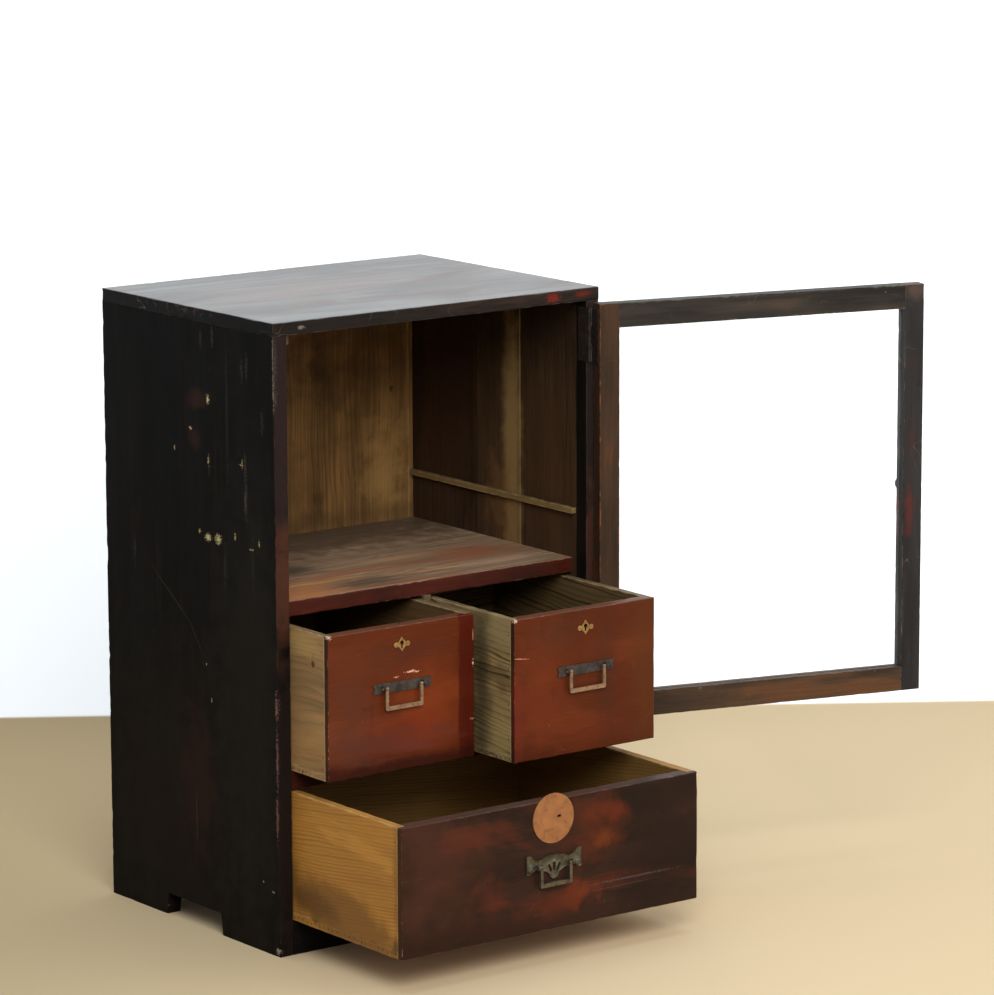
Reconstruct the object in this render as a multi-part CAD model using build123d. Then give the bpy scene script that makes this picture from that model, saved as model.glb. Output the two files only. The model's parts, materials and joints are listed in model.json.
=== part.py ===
from build123d import *
import math
import os
from dataclasses import dataclass

# Small Japanese kitchen cabinet (mizuya), in millimetres.
# A glazed door covers a display compartment and two small drawers, and one large drawer lies below.
# X runs to the right, Y from the front plane towards the back, Z up from the floor.
# The origin is the middle of the front bottom edge, on the floor.
# The door and the drawers are drawn as they stand when the cabinet is left open.

os.makedirs("parts", exist_ok=True)

# ---------------------------------------------------------------- driving dimensions

# carcass
WIDTH = 480.0
DEPTH = 366.0
HEIGHT = 760.0
SIDE_T = 19.0
TOP_T = 16.0
BACK_T = 6.0
EASE = 0.8  # chamfer on the arrises that hands meet

# heights of the storeys, from the floor up
BASE_RAIL_H = 42.0
LARGE_BAY_H = 160.0
MIDDLE_RAIL_H = 22.5
SMALL_BAY_H = 179.0
SHELF_T = 18.5

# boards and rails inside
BASE_RAIL_T = 18.0
BOTTOM_T = 11.0
MIDDLE_RAIL_T = 26.0
DUST_T = 10.5
RUNNER_W = 18.0
DIVIDER_T = 11.0
HOUSING = 5.0  # depth of every housing in the sides
TONGUE = 3.0  # depth of the divider's grooves
TONGUE_STOP = 8.0  # where the grooves end behind the divider's front edge
RAIL_TENON_L = 12.0
RAIL_TENON_T = 10.0
RAIL_TENON_SHOULDER = 4.0
RABBET_W = 8.0
BACK_SEAMS = (-110.0, 28.0)
BACK_LAP = 6.0

# blind tenons that hold the top on the sides
TOP_TENON_COUNT = 5
TOP_TENON_W = 34.0
TOP_TENON_T = 8.0
TOP_TENON_L = 9.0

# foot cut-out in each side
FOOT_L = 122.0
FOOT_H = 27.0
FOOT_SPLAY = 4.0

# ledger strips for a loose shelf
LEDGER_T = 6.0
LEDGER_H = 7.5
LEDGER_RISE = 56.0  # above the display shelf
LEDGER_SET_BACK = 1.0  # behind the shut door

# door
DOOR_T = 19.5
DOOR_GAP = 1.5
DOOR_ROOM = 9.0  # between the shut door and the shelf's front edge, for the drawer handles
DOOR_OPEN = 165.0  # degrees from shut
STILE_W = 26.0
TOP_RAIL_H = 30.0
BOTTOM_RAIL_H = 31.0
DOOR_TENON_T = 7.0
DOOR_TENON_SET_IN = 7.0
PANE_T = 3.0
PANE_PLAY = 0.2
GROOVE_D = 6.0
PANE_EDGE = 5.0  # how far the pane enters its groove
STOP_W = 16.0
STOP_H = 14.0
STOP_D = 12.0

# turned knob on the free stile
KNOB_RISE = 260.0  # above the door's bottom edge
KNOB_R = 8.5
KNOB_L = 17.0
KNOB_NECK_R = 4.0
KNOB_FOOT_R = 6.0
KNOB_SHANK_R = 3.0
KNOB_SHANK_L = 12.0
KNOB_DOME_R = 5.6
KNOB_TIP_R = 2.2
KNOB_SIDES = 24  # flats that stand for the round of the knob
KNOB_NECK_AT = 0.30  # a place along its length, as the next two are
KNOB_BULGE_AT = 0.58
KNOB_DOME_AT = 0.90

# butt hinges
HINGE_L = 66.0
HINGE_INSET = 7.0
LEAF_T = 1.4
LEAF_W = 16.0
LEAF_AIR = 0.15  # between the two leaves of a shut hinge
PIN_SET_OVER = 2.4  # the pin lies in front of the side, so that the open door and the right drawer clear
KNUCKLE_R = 2.8
KNUCKLES = 3
KNUCKLE_GAP = 0.2
KNUCKLE_PROUD = 0.3  # air between the knuckles and the wood
PIN_R = 1.3
PIN_PLAY = 0.05
PIN_HEAD_R = 2.4
PIN_HEAD_H = 1.0
PIN_HEAD_SIDES = 16
SCREWS_PER_LEAF = 3
SCREW_STAGGER = 3.0
SCREW_R = 1.4
SCREW_HEAD_R = 2.8
SCREW_L = 13.0
SCREW_SIDES = 12  # flats that stand for the round of so small a screw

# drawers
DRAWER_SIDE_GAP = 1.5
DRAWER_REST_GAP = 0.5
DRAWER_REAR_GAP = 4.0
SMALL_TOP_GAP = 4.5
LARGE_TOP_GAP = 2.5
LEFT_PULLED = 102.5
RIGHT_PULLED = 163.0
LARGE_PULLED = 217.0
LARGE_PROUD = 0.3  # so that the round lock plate can lap over the rail
SMALL_FRONT_T = 16.0
LARGE_FRONT_T = 18.0
SMALL_LAP = 7.0
LARGE_LAP = 8.0
SMALL_SIDE_T = 9.0
LARGE_SIDE_T = 11.0
SMALL_BOTTOM_T = 8.0
LARGE_BOTTOM_T = 9.0
DRAWER_BACK_T = 9.0
DRAWER_BACK_SET_IN = 8.0
DRAWER_BACK_DROP = 3.0
DRAWER_DADO = 4.0
DRAWER_EASE = 0.4

# drawer locks
LOCK_W = 36.0
LOCK_H = 32.0
LOCK_T = 8.0
LOCK_DROP = 6.0
BOLT_W = 12.0
BOLT_T = 3.6
BOLT_PLAY = 0.2
BOLT_SET_BACK = 0.6
BOLT_TRAVEL = 11.0
BOLT_EASE = 0.6
BOLT_FLOOR = 4.0
STRIKE_PLAY = 1.5
KEY_R = 2.6
KEY_SLOT_W = 2.2
KEY_SLOT_L = 6.3
KEY_DROP = 20.5

# brass escutcheon of a small drawer
ESCUTCHEON_W = 23.4
ESCUTCHEON_H = 18.4
ESCUTCHEON_T = 1.0
ESCUTCHEON_LOBE_R = 3.2
ESCUTCHEON_WAIST = 0.93  # below 1 draws the sides in

# round lock plate of the large drawer
DISC_R = 30.0
DISC_T = 1.5
DISC_DROP = 22.0
DISC_KEY_X = 8.5
DISC_KEY_R = 1.6
DISC_KEY_L = 6.0

# small drawer handle: flat strap, two eyes and a rectangular bail
STRAP_L = 84.0
STRAP_H = 12.0
STRAP_T = 1.6
STRAP_NOTCH_R = 3.5
SMALL_PIN_DROP = 72.0
SMALL_BAIL_W = 54.0
SMALL_BAIL_H = 26.5
SMALL_BAIL_BAR = 4.0
SMALL_BAIL_FOOT = 5.0
SMALL_BAIL_T = 2.5
SMALL_BAIL_CORNER = 2.0

# large drawer handle: pierced cast plate, two eyes and a heavier bail
PLATE_HALF_W = 40.4
PLATE_T = 2.4
PLATE_ARCH = 3.4  # fall of the arched crown to where the dips beside it begin
PLATE_EAR_RISE = 3.4  # of the ears above the crown
PLATE_EAR_H = 23.0
PLATE_EAR_W = 11.0
PLATE_EAR_TURN = 0.7  # where an ear's inner edge turns outwards
PLATE_EAR_BULGE = 0.7
PLATE_DIP_X = 20.5
PLATE_PENDANT_DROP = 28.7
PLATE_PENDANT_R = 7.0
PLATE_SHOULDER_DROP = 15.0
BOSS_R = 4.2
BOSS_H = 1.8
BOSS_DROP = 14.0
BOSS_EASE = 1.1
BOSS_SIDES = 24
SLOT_L = 10.5
SLOT_R = 1.5
SLOT_FAN = 27.0  # degrees between the pierced slots
SLOT_PIVOT_DROP = 27.0
SLOT_MID_R = 13.5
LARGE_PIN_DROP = 78.0
LARGE_PIN_BELOW_CROWN = 12.2
LARGE_BAIL_W = 47.0
LARGE_BAIL_H = 24.5
LARGE_BAIL_BAR = 4.0
LARGE_BAIL_FOOT = 4.2
LARGE_BAIL_T = 4.0
LARGE_BAIL_CORNER = 1.6
LARGE_BAIL_ARCH = 1.2

# eyes and trunnions that both kinds of handle share
EYE_T = 2.6
EYE_R = 3.2
EYE_GAP = 0.5
EYE_CLEAR = 3.1  # from the plate's face to the trunnion's axis
TRUNNION_R = 1.3
TRUNNION_PLAY = 0.06
TRUNNION_END = 1.2

# ---------------------------------------------------------------- derived places

INNER_X = WIDTH / 2 - SIDE_T
TOP_UNDER = HEIGHT - TOP_T
BACK_Y = DEPTH - BACK_T
LARGE_BAY_Z0 = BASE_RAIL_H
LARGE_BAY_Z1 = LARGE_BAY_Z0 + LARGE_BAY_H
SMALL_BAY_Z0 = LARGE_BAY_Z1 + MIDDLE_RAIL_H
SMALL_BAY_Z1 = SMALL_BAY_Z0 + SMALL_BAY_H
SHELF_TOP = SMALL_BAY_Z1 + SHELF_T
BACK_Z0 = BASE_RAIL_H - BOTTOM_T
SHELF_Y = DOOR_T + DOOR_ROOM
PIN_X = INNER_X + PIN_SET_OVER
PIN_Y = -(KNUCKLE_R + KNUCKLE_PROUD)
DOOR_X0 = -INNER_X + DOOR_GAP
DOOR_X1 = INNER_X - LEAF_T - LEAF_AIR
DOOR_Z0 = SMALL_BAY_Z0 + DOOR_GAP
DOOR_Z1 = TOP_UNDER - DOOR_GAP
HINGE_BOTTOMS = (DOOR_Z0 + HINGE_INSET, DOOR_Z1 - HINGE_INSET - HINGE_L)


# ---------------------------------------------------------------- shared shapes

def block(x0, x1, y0, y1, z0, z1):
    """A squared piece between two opposite corners, given in any order."""
    low = (min(x0, x1), min(y0, y1), min(z0, z1))
    size = (abs(x1 - x0), abs(y1 - y0), abs(z1 - z0))
    return Pos(*low) * Box(*size, align=(Align.MIN, Align.MIN, Align.MIN))


def rod(radius, start, length, direction):
    """A round rod that starts at a point and runs along a direction."""
    plane = Plane(origin=start, z_dir=direction)
    return plane * Cylinder(radius, length, align=(Align.CENTER, Align.CENTER, Align.MIN))


def flats(plane, start_r, end_r, length, sides):
    """A many-sided cone or rod that stands for a round one, along a plane's own z."""
    corners = [
        (radius * math.cos(math.tau * i / sides), radius * math.sin(math.tau * i / sides), rise)
        for rise, radius in ((0, start_r), (length, end_r))
        for i in range(sides)
    ]
    return plane * ConvexPolyhedron(corners)


def eased_front(piece, size=EASE):
    """Chamfer the four edges around the face that looks forward."""
    return chamfer(piece.faces().sort_by(Axis.Y)[0].edges(), size)


def eased_front_lengths(piece, size=EASE):
    """Chamfer only the two long front arrises of a rail or shelf."""
    return chamfer(piece.faces().sort_by(Axis.Y)[0].edges().filter_by(Axis.X), size)


def cut_all(piece, tools):
    """Take every tool out of a piece."""
    for tool in tools:
        piece = piece - tool
    return piece


def join_all(pieces):
    """One node made of several pieces."""
    whole = pieces[0]
    for piece in pieces[1:]:
        whole = whole + piece
    return whole


def front_plane(x, y, z):
    """A drawing plane that faces forward: its x runs right and its y runs up."""
    return Plane(origin=(x, y, z), x_dir=(1, 0, 0), z_dir=(0, -1, 0))


# ---------------------------------------------------------------- carcass

def stub_tenons(thickness, z0, z1):
    """The tenons at both ends of a rail that stands between the sides."""
    y0 = (thickness - RAIL_TENON_T) / 2
    for hand in (-1, 1):
        yield block(
            hand * INNER_X, hand * (INNER_X + RAIL_TENON_L), y0, y0 + RAIL_TENON_T,
            z0 + RAIL_TENON_SHOULDER, z1 - RAIL_TENON_SHOULDER,
        )


def middle_rail():
    """The rail between the large drawer and the small ones."""
    z0, z1 = LARGE_BAY_Z1, SMALL_BAY_Z0
    rail = eased_front_lengths(block(-INNER_X, INNER_X, 0, MIDDLE_RAIL_T, z0, z1))
    return join_all([rail, *stub_tenons(MIDDLE_RAIL_T, z0, z1)])


def housed_board(y0, z0, z1):
    """A board across the cabinet that enters a housing in each side."""
    reach = INNER_X + HOUSING
    return block(-reach, reach, y0, BACK_Y, z0, z1)


def base_rail():
    """The rail that stands on the floor; only its upper front arris is eased."""
    rail = block(-INNER_X, INNER_X, 0, BASE_RAIL_T, 0, BASE_RAIL_H)
    upper_edge = rail.faces().sort_by(Axis.Y)[0].edges().sort_by(Axis.Z)[-1]
    rail = chamfer(upper_edge, EASE)
    return join_all([rail, *stub_tenons(BASE_RAIL_T, 0, BASE_RAIL_H)])


def strike(plan):
    """The mortise above a shut drawer that its bolt shoots into."""
    y = plan.shut_y + plan.front_t - LOCK_T / 2
    depth = BOLT_TRAVEL - BOLT_SET_BACK - plan.top_gap + STRIKE_PLAY
    half_w = BOLT_W / 2 + STRIKE_PLAY
    half_t = BOLT_T / 2 + STRIKE_PLAY
    return block(
        plan.mid_x - half_w, plan.mid_x + half_w, y - half_t, y + half_t,
        plan.bay_z1, plan.bay_z1 + depth,
    )


def display_shelf(small_plans):
    """The shelf over the small drawers, set back behind the door."""
    reach = INNER_X + HOUSING
    board = eased_front_lengths(block(-reach, reach, SHELF_Y, BACK_Y, SMALL_BAY_Z1, SHELF_TOP))
    return cut_all(board, [strike(plan) for plan in small_plans])


def divider():
    """The upright between the small drawers, tongued into the boards above and below it."""
    half = DIVIDER_T / 2
    board = eased_front(block(-half, half, SHELF_Y, BACK_Y, SMALL_BAY_Z0, SMALL_BAY_Z1))
    tongue_y = SHELF_Y + TONGUE_STOP
    return board + block(-half, half, tongue_y, BACK_Y, SMALL_BAY_Z0 - TONGUE, SMALL_BAY_Z1 + TONGUE)


def runners():
    """Two strips under the dust board: it rests on them, and they keep the large drawer level."""
    pieces = []
    for hand in (-1, 1):
        pieces.append(block(
            hand * (INNER_X - RUNNER_W), hand * INNER_X, MIDDLE_RAIL_T, BACK_Y,
            LARGE_BAY_Z1, SMALL_BAY_Z0 - DUST_T,
        ))
    return join_all(pieces)


def back_boards():
    """Upright back boards, half lapped where they meet, from left to right."""
    reach = INNER_X + RABBET_W
    seams = (-reach, *BACK_SEAMS, reach)
    mid_y = BACK_Y + BACK_T / 2
    boards = []
    for left, right in zip(seams, seams[1:]):
        board = block(left, right, BACK_Y, DEPTH, BACK_Z0, TOP_UNDER)
        if right < reach:
            board += block(right, right + BACK_LAP, mid_y, DEPTH, BACK_Z0, TOP_UNDER)
        if left > -reach:
            board -= block(left, left + BACK_LAP, mid_y, DEPTH, BACK_Z0, TOP_UNDER)
        boards.append(board)
    return boards


def ledger(hand):
    """A strip on the inner wall that carries one end of a loose shelf."""
    z0 = SHELF_TOP + LEDGER_RISE
    y0 = DOOR_T + LEDGER_SET_BACK
    strip = block(hand * (INNER_X - LEDGER_T), hand * INNER_X, y0, BACK_Y, z0, z0 + LEDGER_H)
    return strip


def door_stop():
    """A block under the top, behind the corner of the shut door."""
    return block(-INNER_X, -INNER_X + STOP_W, DOOR_T, DOOR_T + STOP_D, TOP_UNDER - STOP_H, TOP_UNDER)


def foot_cut(hand):
    """The opening that leaves two feet under a side; its ends lean outwards towards the floor."""
    profile = Plane.YZ * make_face(Polyline(
        (FOOT_L, 0), (FOOT_L + FOOT_SPLAY, FOOT_H),
        (DEPTH - FOOT_L - FOOT_SPLAY, FOOT_H), (DEPTH - FOOT_L, 0), close=True,
    ))
    return extrude(profile, hand * WIDTH, dir=(1, 0, 0))


def top_tenons(hand):
    """Blind tenons on the upper end of a side, evenly spaced from front to back."""
    mid_x = hand * (INNER_X + SIDE_T / 2)
    pitch = DEPTH / TOP_TENON_COUNT
    tenons = []
    for i in range(TOP_TENON_COUNT):
        y = (i + 0.5) * pitch
        tenons.append(block(
            mid_x - TOP_TENON_T / 2, mid_x + TOP_TENON_T / 2, y - TOP_TENON_W / 2, y + TOP_TENON_W / 2,
            TOP_UNDER, TOP_UNDER + TOP_TENON_L,
        ))
    return tenons


def side_panel(hand, let_in):
    """A full-height side (hand -1 left, +1 right) with everything that is let into it cut out."""
    panel = eased_front(block(hand * INNER_X, hand * WIDTH / 2, 0, DEPTH, 0, TOP_UNDER))
    panel -= foot_cut(hand)
    panel -= block(hand * INNER_X, hand * (INNER_X + RABBET_W), BACK_Y, DEPTH, BACK_Z0, TOP_UNDER)
    for tenon in top_tenons(hand):
        panel += tenon
    return cut_all(panel, let_in)


def top_board():
    """The top lies over both sides and takes their blind tenons."""
    board = block(-WIDTH / 2, WIDTH / 2, 0, DEPTH, TOP_UNDER, HEIGHT)
    board = chamfer(board.faces().sort_by(Axis.Z)[-1].edges(), EASE)
    return cut_all(board, top_tenons(-1) + top_tenons(1))


# ---------------------------------------------------------------- hinges

def leaf_place(on_door):
    """The open face of a leaf and the way into its wood: the frame's is let in, the door's lies on its edge."""
    return (DOOR_X1 + LEAF_T, -1) if on_door else (INNER_X, 1)


def leaf_plate(z0, on_door):
    """The plain plate of a leaf, which is also the bed that is cut for it."""
    face, way = leaf_place(on_door)
    return block(face, face + way * LEAF_T, PIN_Y, LEAF_W, z0, z0 + HINGE_L)


def screw_places(z0):
    """Heights and depths of the screws in one leaf, the middle one set further back."""
    pitch = HINGE_L / SCREWS_PER_LEAF
    for i in range(SCREWS_PER_LEAF):
        stagger = SCREW_STAGGER if i % 2 else -SCREW_STAGGER
        yield z0 + (i + 0.5) * pitch, LEAF_W / 2 + stagger


def screws_in_leaf(z0, on_door):
    """The countersunk screws of one leaf, also used to cut their seats."""
    face, way = leaf_place(on_door)
    screws = []
    for z, y in screw_places(z0):
        rim = Plane(origin=(face, y, z), z_dir=(way, 0, 0))
        head = flats(rim, SCREW_HEAD_R, SCREW_R, LEAF_T, SCREW_SIDES)
        screws.append(head + flats(rim.offset(LEAF_T), SCREW_R, SCREW_R, SCREW_L - LEAF_T, SCREW_SIDES))
    return screws


def hinge_screws(on_door):
    """The screws of both hinges on one side of the joint."""
    return join_all([screw for z0 in HINGE_BOTTOMS for screw in screws_in_leaf(z0, on_door)])


def hinge_leaf(z0, on_door):
    """A leaf with its share of the knuckles: the frame has the outer ones, the door those between."""
    length = HINGE_L / KNUCKLES
    bore = PIN_R + PIN_PLAY if on_door else PIN_R
    leaf = leaf_plate(z0, on_door)
    for i in range(KNUCKLES):
        low = z0 + i * length
        if (i % 2 == 1) == on_door:
            start = low + (KNUCKLE_GAP / 2 if i > 0 else 0)
            end = low + length - (KNUCKLE_GAP / 2 if i < KNUCKLES - 1 else 0)
            leaf += rod(KNUCKLE_R, (PIN_X, PIN_Y, start), end - start, (0, 0, 1))
        else:
            notch = block(
                DOOR_X1, PIN_X, PIN_Y, PIN_Y + KNUCKLE_R + KNUCKLE_PROUD,
                low - KNUCKLE_GAP / 2, low + length + KNUCKLE_GAP / 2,
            )
            leaf -= notch
    leaf -= rod(bore, (PIN_X, PIN_Y, z0), HINGE_L, (0, 0, 1))
    return cut_all(leaf, screws_in_leaf(z0, on_door))


def hinge_pins():
    """The two pins, each with a low head above the knuckles."""
    pins = []
    for z0 in HINGE_BOTTOMS:
        pin = rod(PIN_R, (PIN_X, PIN_Y, z0), HINGE_L, (0, 0, 1))
        crown = Plane(origin=(PIN_X, PIN_Y, z0 + HINGE_L))
        pins.append(pin + flats(crown, PIN_HEAD_R, PIN_HEAD_R, PIN_HEAD_H, PIN_HEAD_SIDES))
    return join_all(pins)


# ---------------------------------------------------------------- door

def opened(piece):
    """Swing a piece of the shut door to where the door stands open."""
    return piece.rotate(Axis((PIN_X, PIN_Y, 0), (0, 0, 1)), DOOR_OPEN)


def door_rail(z0, z1, upper):
    """A door rail with through tenons; each tenon is clear of the pane's groove and of the door's end."""
    rail = eased_front_lengths(block(DOOR_X0 + STILE_W, DOOR_X1 - STILE_W, 0, DOOR_T, z0, z1))
    groove_z = (z0, z0 + GROOVE_D) if upper else (z1 - GROOVE_D, z1)
    tenon_z = (z0 + GROOVE_D, z1 - DOOR_TENON_SET_IN) if upper else (z0 + DOOR_TENON_SET_IN, z1 - GROOVE_D)
    mid_y = DOOR_T / 2
    half = PANE_T / 2 + PANE_PLAY
    rail -= block(DOOR_X0 + STILE_W, DOOR_X1 - STILE_W, mid_y - half, mid_y + half, *groove_z)
    rail += block(DOOR_X0, DOOR_X1, mid_y - DOOR_TENON_T / 2, mid_y + DOOR_TENON_T / 2, *tenon_z)
    return rail


def door_stile(x0, x1, inner_way, rails):
    """A door stile, grooved for the pane and mortised right through for the rails."""
    stile = eased_front(block(x0, x1, 0, DOOR_T, DOOR_Z0, DOOR_Z1))
    edge = x1 if inner_way > 0 else x0
    half = PANE_T / 2 + PANE_PLAY
    stile -= block(
        edge, edge - inner_way * GROOVE_D, DOOR_T / 2 - half, DOOR_T / 2 + half,
        DOOR_Z0 + BOTTOM_RAIL_H - GROOVE_D, DOOR_Z1 - TOP_RAIL_H + GROOVE_D,
    )
    return cut_all(stile, rails)


def glass_pane():
    """The pane, held in the grooves on all four sides."""
    mid_y = DOOR_T / 2
    return block(
        DOOR_X0 + STILE_W - PANE_EDGE, DOOR_X1 - STILE_W + PANE_EDGE,
        mid_y - PANE_T / 2, mid_y + PANE_T / 2,
        DOOR_Z0 + BOTTOM_RAIL_H - PANE_EDGE, DOOR_Z1 - TOP_RAIL_H + PANE_EDGE,
    )


def door_knob():
    """A turned knob: a shank in the stile, a waisted neck and a domed head."""
    stations = (
        (0, KNOB_FOOT_R), (KNOB_NECK_AT, KNOB_NECK_R), (KNOB_BULGE_AT, KNOB_R),
        (KNOB_DOME_AT, KNOB_DOME_R), (1, KNOB_TIP_R),
    )
    face = Plane(origin=(DOOR_X0 + STILE_W / 2, 0, DOOR_Z0 + KNOB_RISE), z_dir=(0, -1, 0))
    knob = flats(face.offset(-KNOB_SHANK_L), KNOB_SHANK_R, KNOB_SHANK_R, KNOB_SHANK_L, KNOB_SIDES)
    for (low, low_r), (high, high_r) in zip(stations, stations[1:]):
        knob += flats(face.offset(low * KNOB_L), low_r, high_r, (high - low) * KNOB_L, KNOB_SIDES)
    return knob


def door_pieces():
    """Every piece of the door by name, swung open."""
    rails = {
        "door_top_rail": door_rail(DOOR_Z1 - TOP_RAIL_H, DOOR_Z1, True),
        "door_bottom_rail": door_rail(DOOR_Z0, DOOR_Z0 + BOTTOM_RAIL_H, False),
    }
    seats = []
    for z0 in HINGE_BOTTOMS:
        seats += screws_in_leaf(z0, True)
    knob = door_knob()
    mortises = list(rails.values())
    pieces = {
        "door_hinge_stile": door_stile(DOOR_X1 - STILE_W, DOOR_X1, -1, mortises + seats),
        "door_free_stile": door_stile(DOOR_X0, DOOR_X0 + STILE_W, 1, mortises + [knob]),
        "door_glass_pane": glass_pane(),
        "door_knob": knob,
        "lower_hinge_door_leaf": hinge_leaf(HINGE_BOTTOMS[0], True),
        "upper_hinge_door_leaf": hinge_leaf(HINGE_BOTTOMS[1], True),
        "hinge_screws_in_door": hinge_screws(True),
    }
    for name, rail in rails.items():
        pieces[name] = cut_all(rail, seats)
    return {name: opened(piece) for name, piece in pieces.items()}


# ---------------------------------------------------------------- drawers

@dataclass
class DrawerPlan:
    """One drawer: the bay it runs in, how far it stands open and the timber it is made of."""

    name: str
    bay_x0: float
    bay_x1: float
    bay_z0: float
    bay_z1: float
    top_gap: float
    shut_y: float
    pulled: float
    front_t: float
    lap: float
    side_t: float
    bottom_t: float
    key_x: float

    @property
    def mid_x(self):
        return (self.bay_x0 + self.bay_x1) / 2

    @property
    def x0(self):
        return self.bay_x0 + DRAWER_SIDE_GAP

    @property
    def x1(self):
        return self.bay_x1 - DRAWER_SIDE_GAP

    @property
    def z0(self):
        return self.bay_z0 + DRAWER_REST_GAP

    @property
    def z1(self):
        return self.bay_z1 - self.top_gap

    @property
    def front_y(self):
        return self.shut_y - self.pulled

    @property
    def rear_y(self):
        return BACK_Y - DRAWER_REAR_GAP - self.pulled

    @property
    def back_y(self):
        return self.rear_y - DRAWER_BACK_SET_IN - DRAWER_BACK_T

    @property
    def lock_z1(self):
        return self.z1 - LOCK_DROP


def lock_room(plan):
    """The space for a lock in the back of a drawer front, which is also the outline of its case."""
    y1 = plan.front_y + plan.front_t
    return block(
        plan.mid_x - LOCK_W / 2, plan.mid_x + LOCK_W / 2, y1 - LOCK_T, y1,
        plan.lock_z1 - LOCK_H, plan.lock_z1,
    )


def bolt_way(plan, play, z0, z1):
    """The bolt's own section between two heights, with some play all round."""
    mid_y = plan.front_y + plan.front_t - LOCK_T / 2
    half_w = BOLT_W / 2 + play
    half_t = BOLT_T / 2 + play
    return block(plan.mid_x - half_w, plan.mid_x + half_w, mid_y - half_t, mid_y + half_t, z0, z1)


def keyway(plan, y0, y1, turned=False):
    """A keyhole through a drawer front: a round eye with a slot below it, or a short level slot."""
    x = plan.mid_x + plan.key_x
    z = plan.z1 - KEY_DROP
    plane = front_plane(x, y1, z)
    if turned:
        shape = SlotOverall(DISC_KEY_L, 2 * DISC_KEY_R)
    else:
        shape = Circle(KEY_R) + Pos(0, -KEY_SLOT_L / 2) * Rectangle(KEY_SLOT_W, KEY_SLOT_L)
    return extrude(plane * shape, y1 - y0)


def drawer_front(plan, turned_key):
    """A front rebated at both ends for the sides and below for the bottom, and let out for its lock."""
    y0, y1 = plan.front_y, plan.front_y + plan.front_t
    board = eased_front(block(plan.x0, plan.x1, y0, y1, plan.z0, plan.z1))
    for edge, way in ((plan.x0, 1), (plan.x1, -1)):
        board -= block(edge, edge + way * plan.side_t, y0 + plan.lap, y1, plan.z0, plan.z1)
    board -= block(plan.x0, plan.x1, y0 + plan.lap, y1, plan.z0, plan.z0 + plan.bottom_t)
    board -= lock_room(plan)
    board -= bolt_way(plan, BOLT_PLAY, plan.lock_z1, plan.z1)
    board -= keyway(plan, y0, y1, turned_key)
    return board


def drawer_back(plan):
    """The back stands on the bottom and enters a dado in each side."""
    x0 = plan.x0 + plan.side_t - DRAWER_DADO
    x1 = plan.x1 - plan.side_t + DRAWER_DADO
    return block(
        x0, x1, plan.back_y, plan.back_y + DRAWER_BACK_T,
        plan.z0 + plan.bottom_t, plan.z1 - DRAWER_BACK_DROP,
    )


def drawer_side(plan, hand):
    """A side from the rebate in the front to the rear end, with the dado for the back."""
    edge = plan.x0 if hand < 0 else plan.x1
    board = block(
        edge, edge - hand * plan.side_t, plan.front_y + plan.lap, plan.rear_y,
        plan.z0 + plan.bottom_t, plan.z1,
    )
    top_edges = board.faces().sort_by(Axis.Z)[-1].edges().filter_by(Axis.Y)
    return chamfer(top_edges, DRAWER_EASE) - drawer_back(plan)


def drawer_bottom(plan):
    """The bottom is nailed on from below, so that its edges show under the sides."""
    return block(
        plan.x0, plan.x1, plan.front_y + plan.lap, plan.rear_y, plan.z0, plan.z0 + plan.bottom_t,
    )


def lock_case(plan, turned_key):
    """A shallow case with a channel for the bolt and the end of the keyway."""
    case = lock_room(plan)
    z_floor = plan.lock_z1 - LOCK_H + BOLT_FLOOR
    case -= bolt_way(plan, BOLT_PLAY, z_floor, plan.lock_z1)
    y1 = plan.front_y + plan.front_t
    return case - keyway(plan, y1 - LOCK_T, y1 - LOCK_T / 2, turned_key)


def lock_bolt(plan):
    """The bolt, drawn back just below the top edge of the front."""
    z_floor = plan.lock_z1 - LOCK_H + BOLT_FLOOR + BOLT_PLAY
    bolt = bolt_way(plan, 0.0, z_floor, plan.z1 - BOLT_SET_BACK)
    return chamfer(bolt.faces().sort_by(Axis.Z)[-1].edges(), BOLT_EASE)


# ---------------------------------------------------------------- fittings on the drawer fronts

def escutcheon(plan):
    """A brass diamond with waisted sides and a small round lobe at each end, cut for the key."""
    half_w = ESCUTCHEON_W / 2 - ESCUTCHEON_LOBE_R
    half_h = ESCUTCHEON_H / 2
    z = plan.z1 - KEY_DROP - KEY_SLOT_L / 2 + KEY_R / 2
    sides = []
    for sx, sz in ((1, 1), (1, -1), (-1, -1), (-1, 1)):
        start = (0, sz * half_h) if sx * sz > 0 else (sx * half_w, 0)
        end = (sx * half_w, 0) if sx * sz > 0 else (0, sz * half_h)
        waist = (sx * half_w / 2 * ESCUTCHEON_WAIST, sz * half_h / 2 * ESCUTCHEON_WAIST)
        sides.append(ThreePointArc(start, waist, end))
    shape = make_face(sides)
    for way in (-1, 1):
        shape += Pos(way * half_w, 0) * Circle(ESCUTCHEON_LOBE_R)
    plate = extrude(front_plane(plan.mid_x, plan.front_y, z) * shape, ESCUTCHEON_T)
    return plate - keyway(plan, plan.front_y - ESCUTCHEON_T, plan.front_y)


def round_lock_plate(plan):
    """A plain disc that laps over the rail above the shut drawer."""
    disc = rod(DISC_R, (plan.mid_x, plan.front_y, plan.z1 - DISC_DROP), DISC_T, (0, -1, 0))
    return disc - keyway(plan, plan.front_y - DISC_T, plan.front_y, True)


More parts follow.
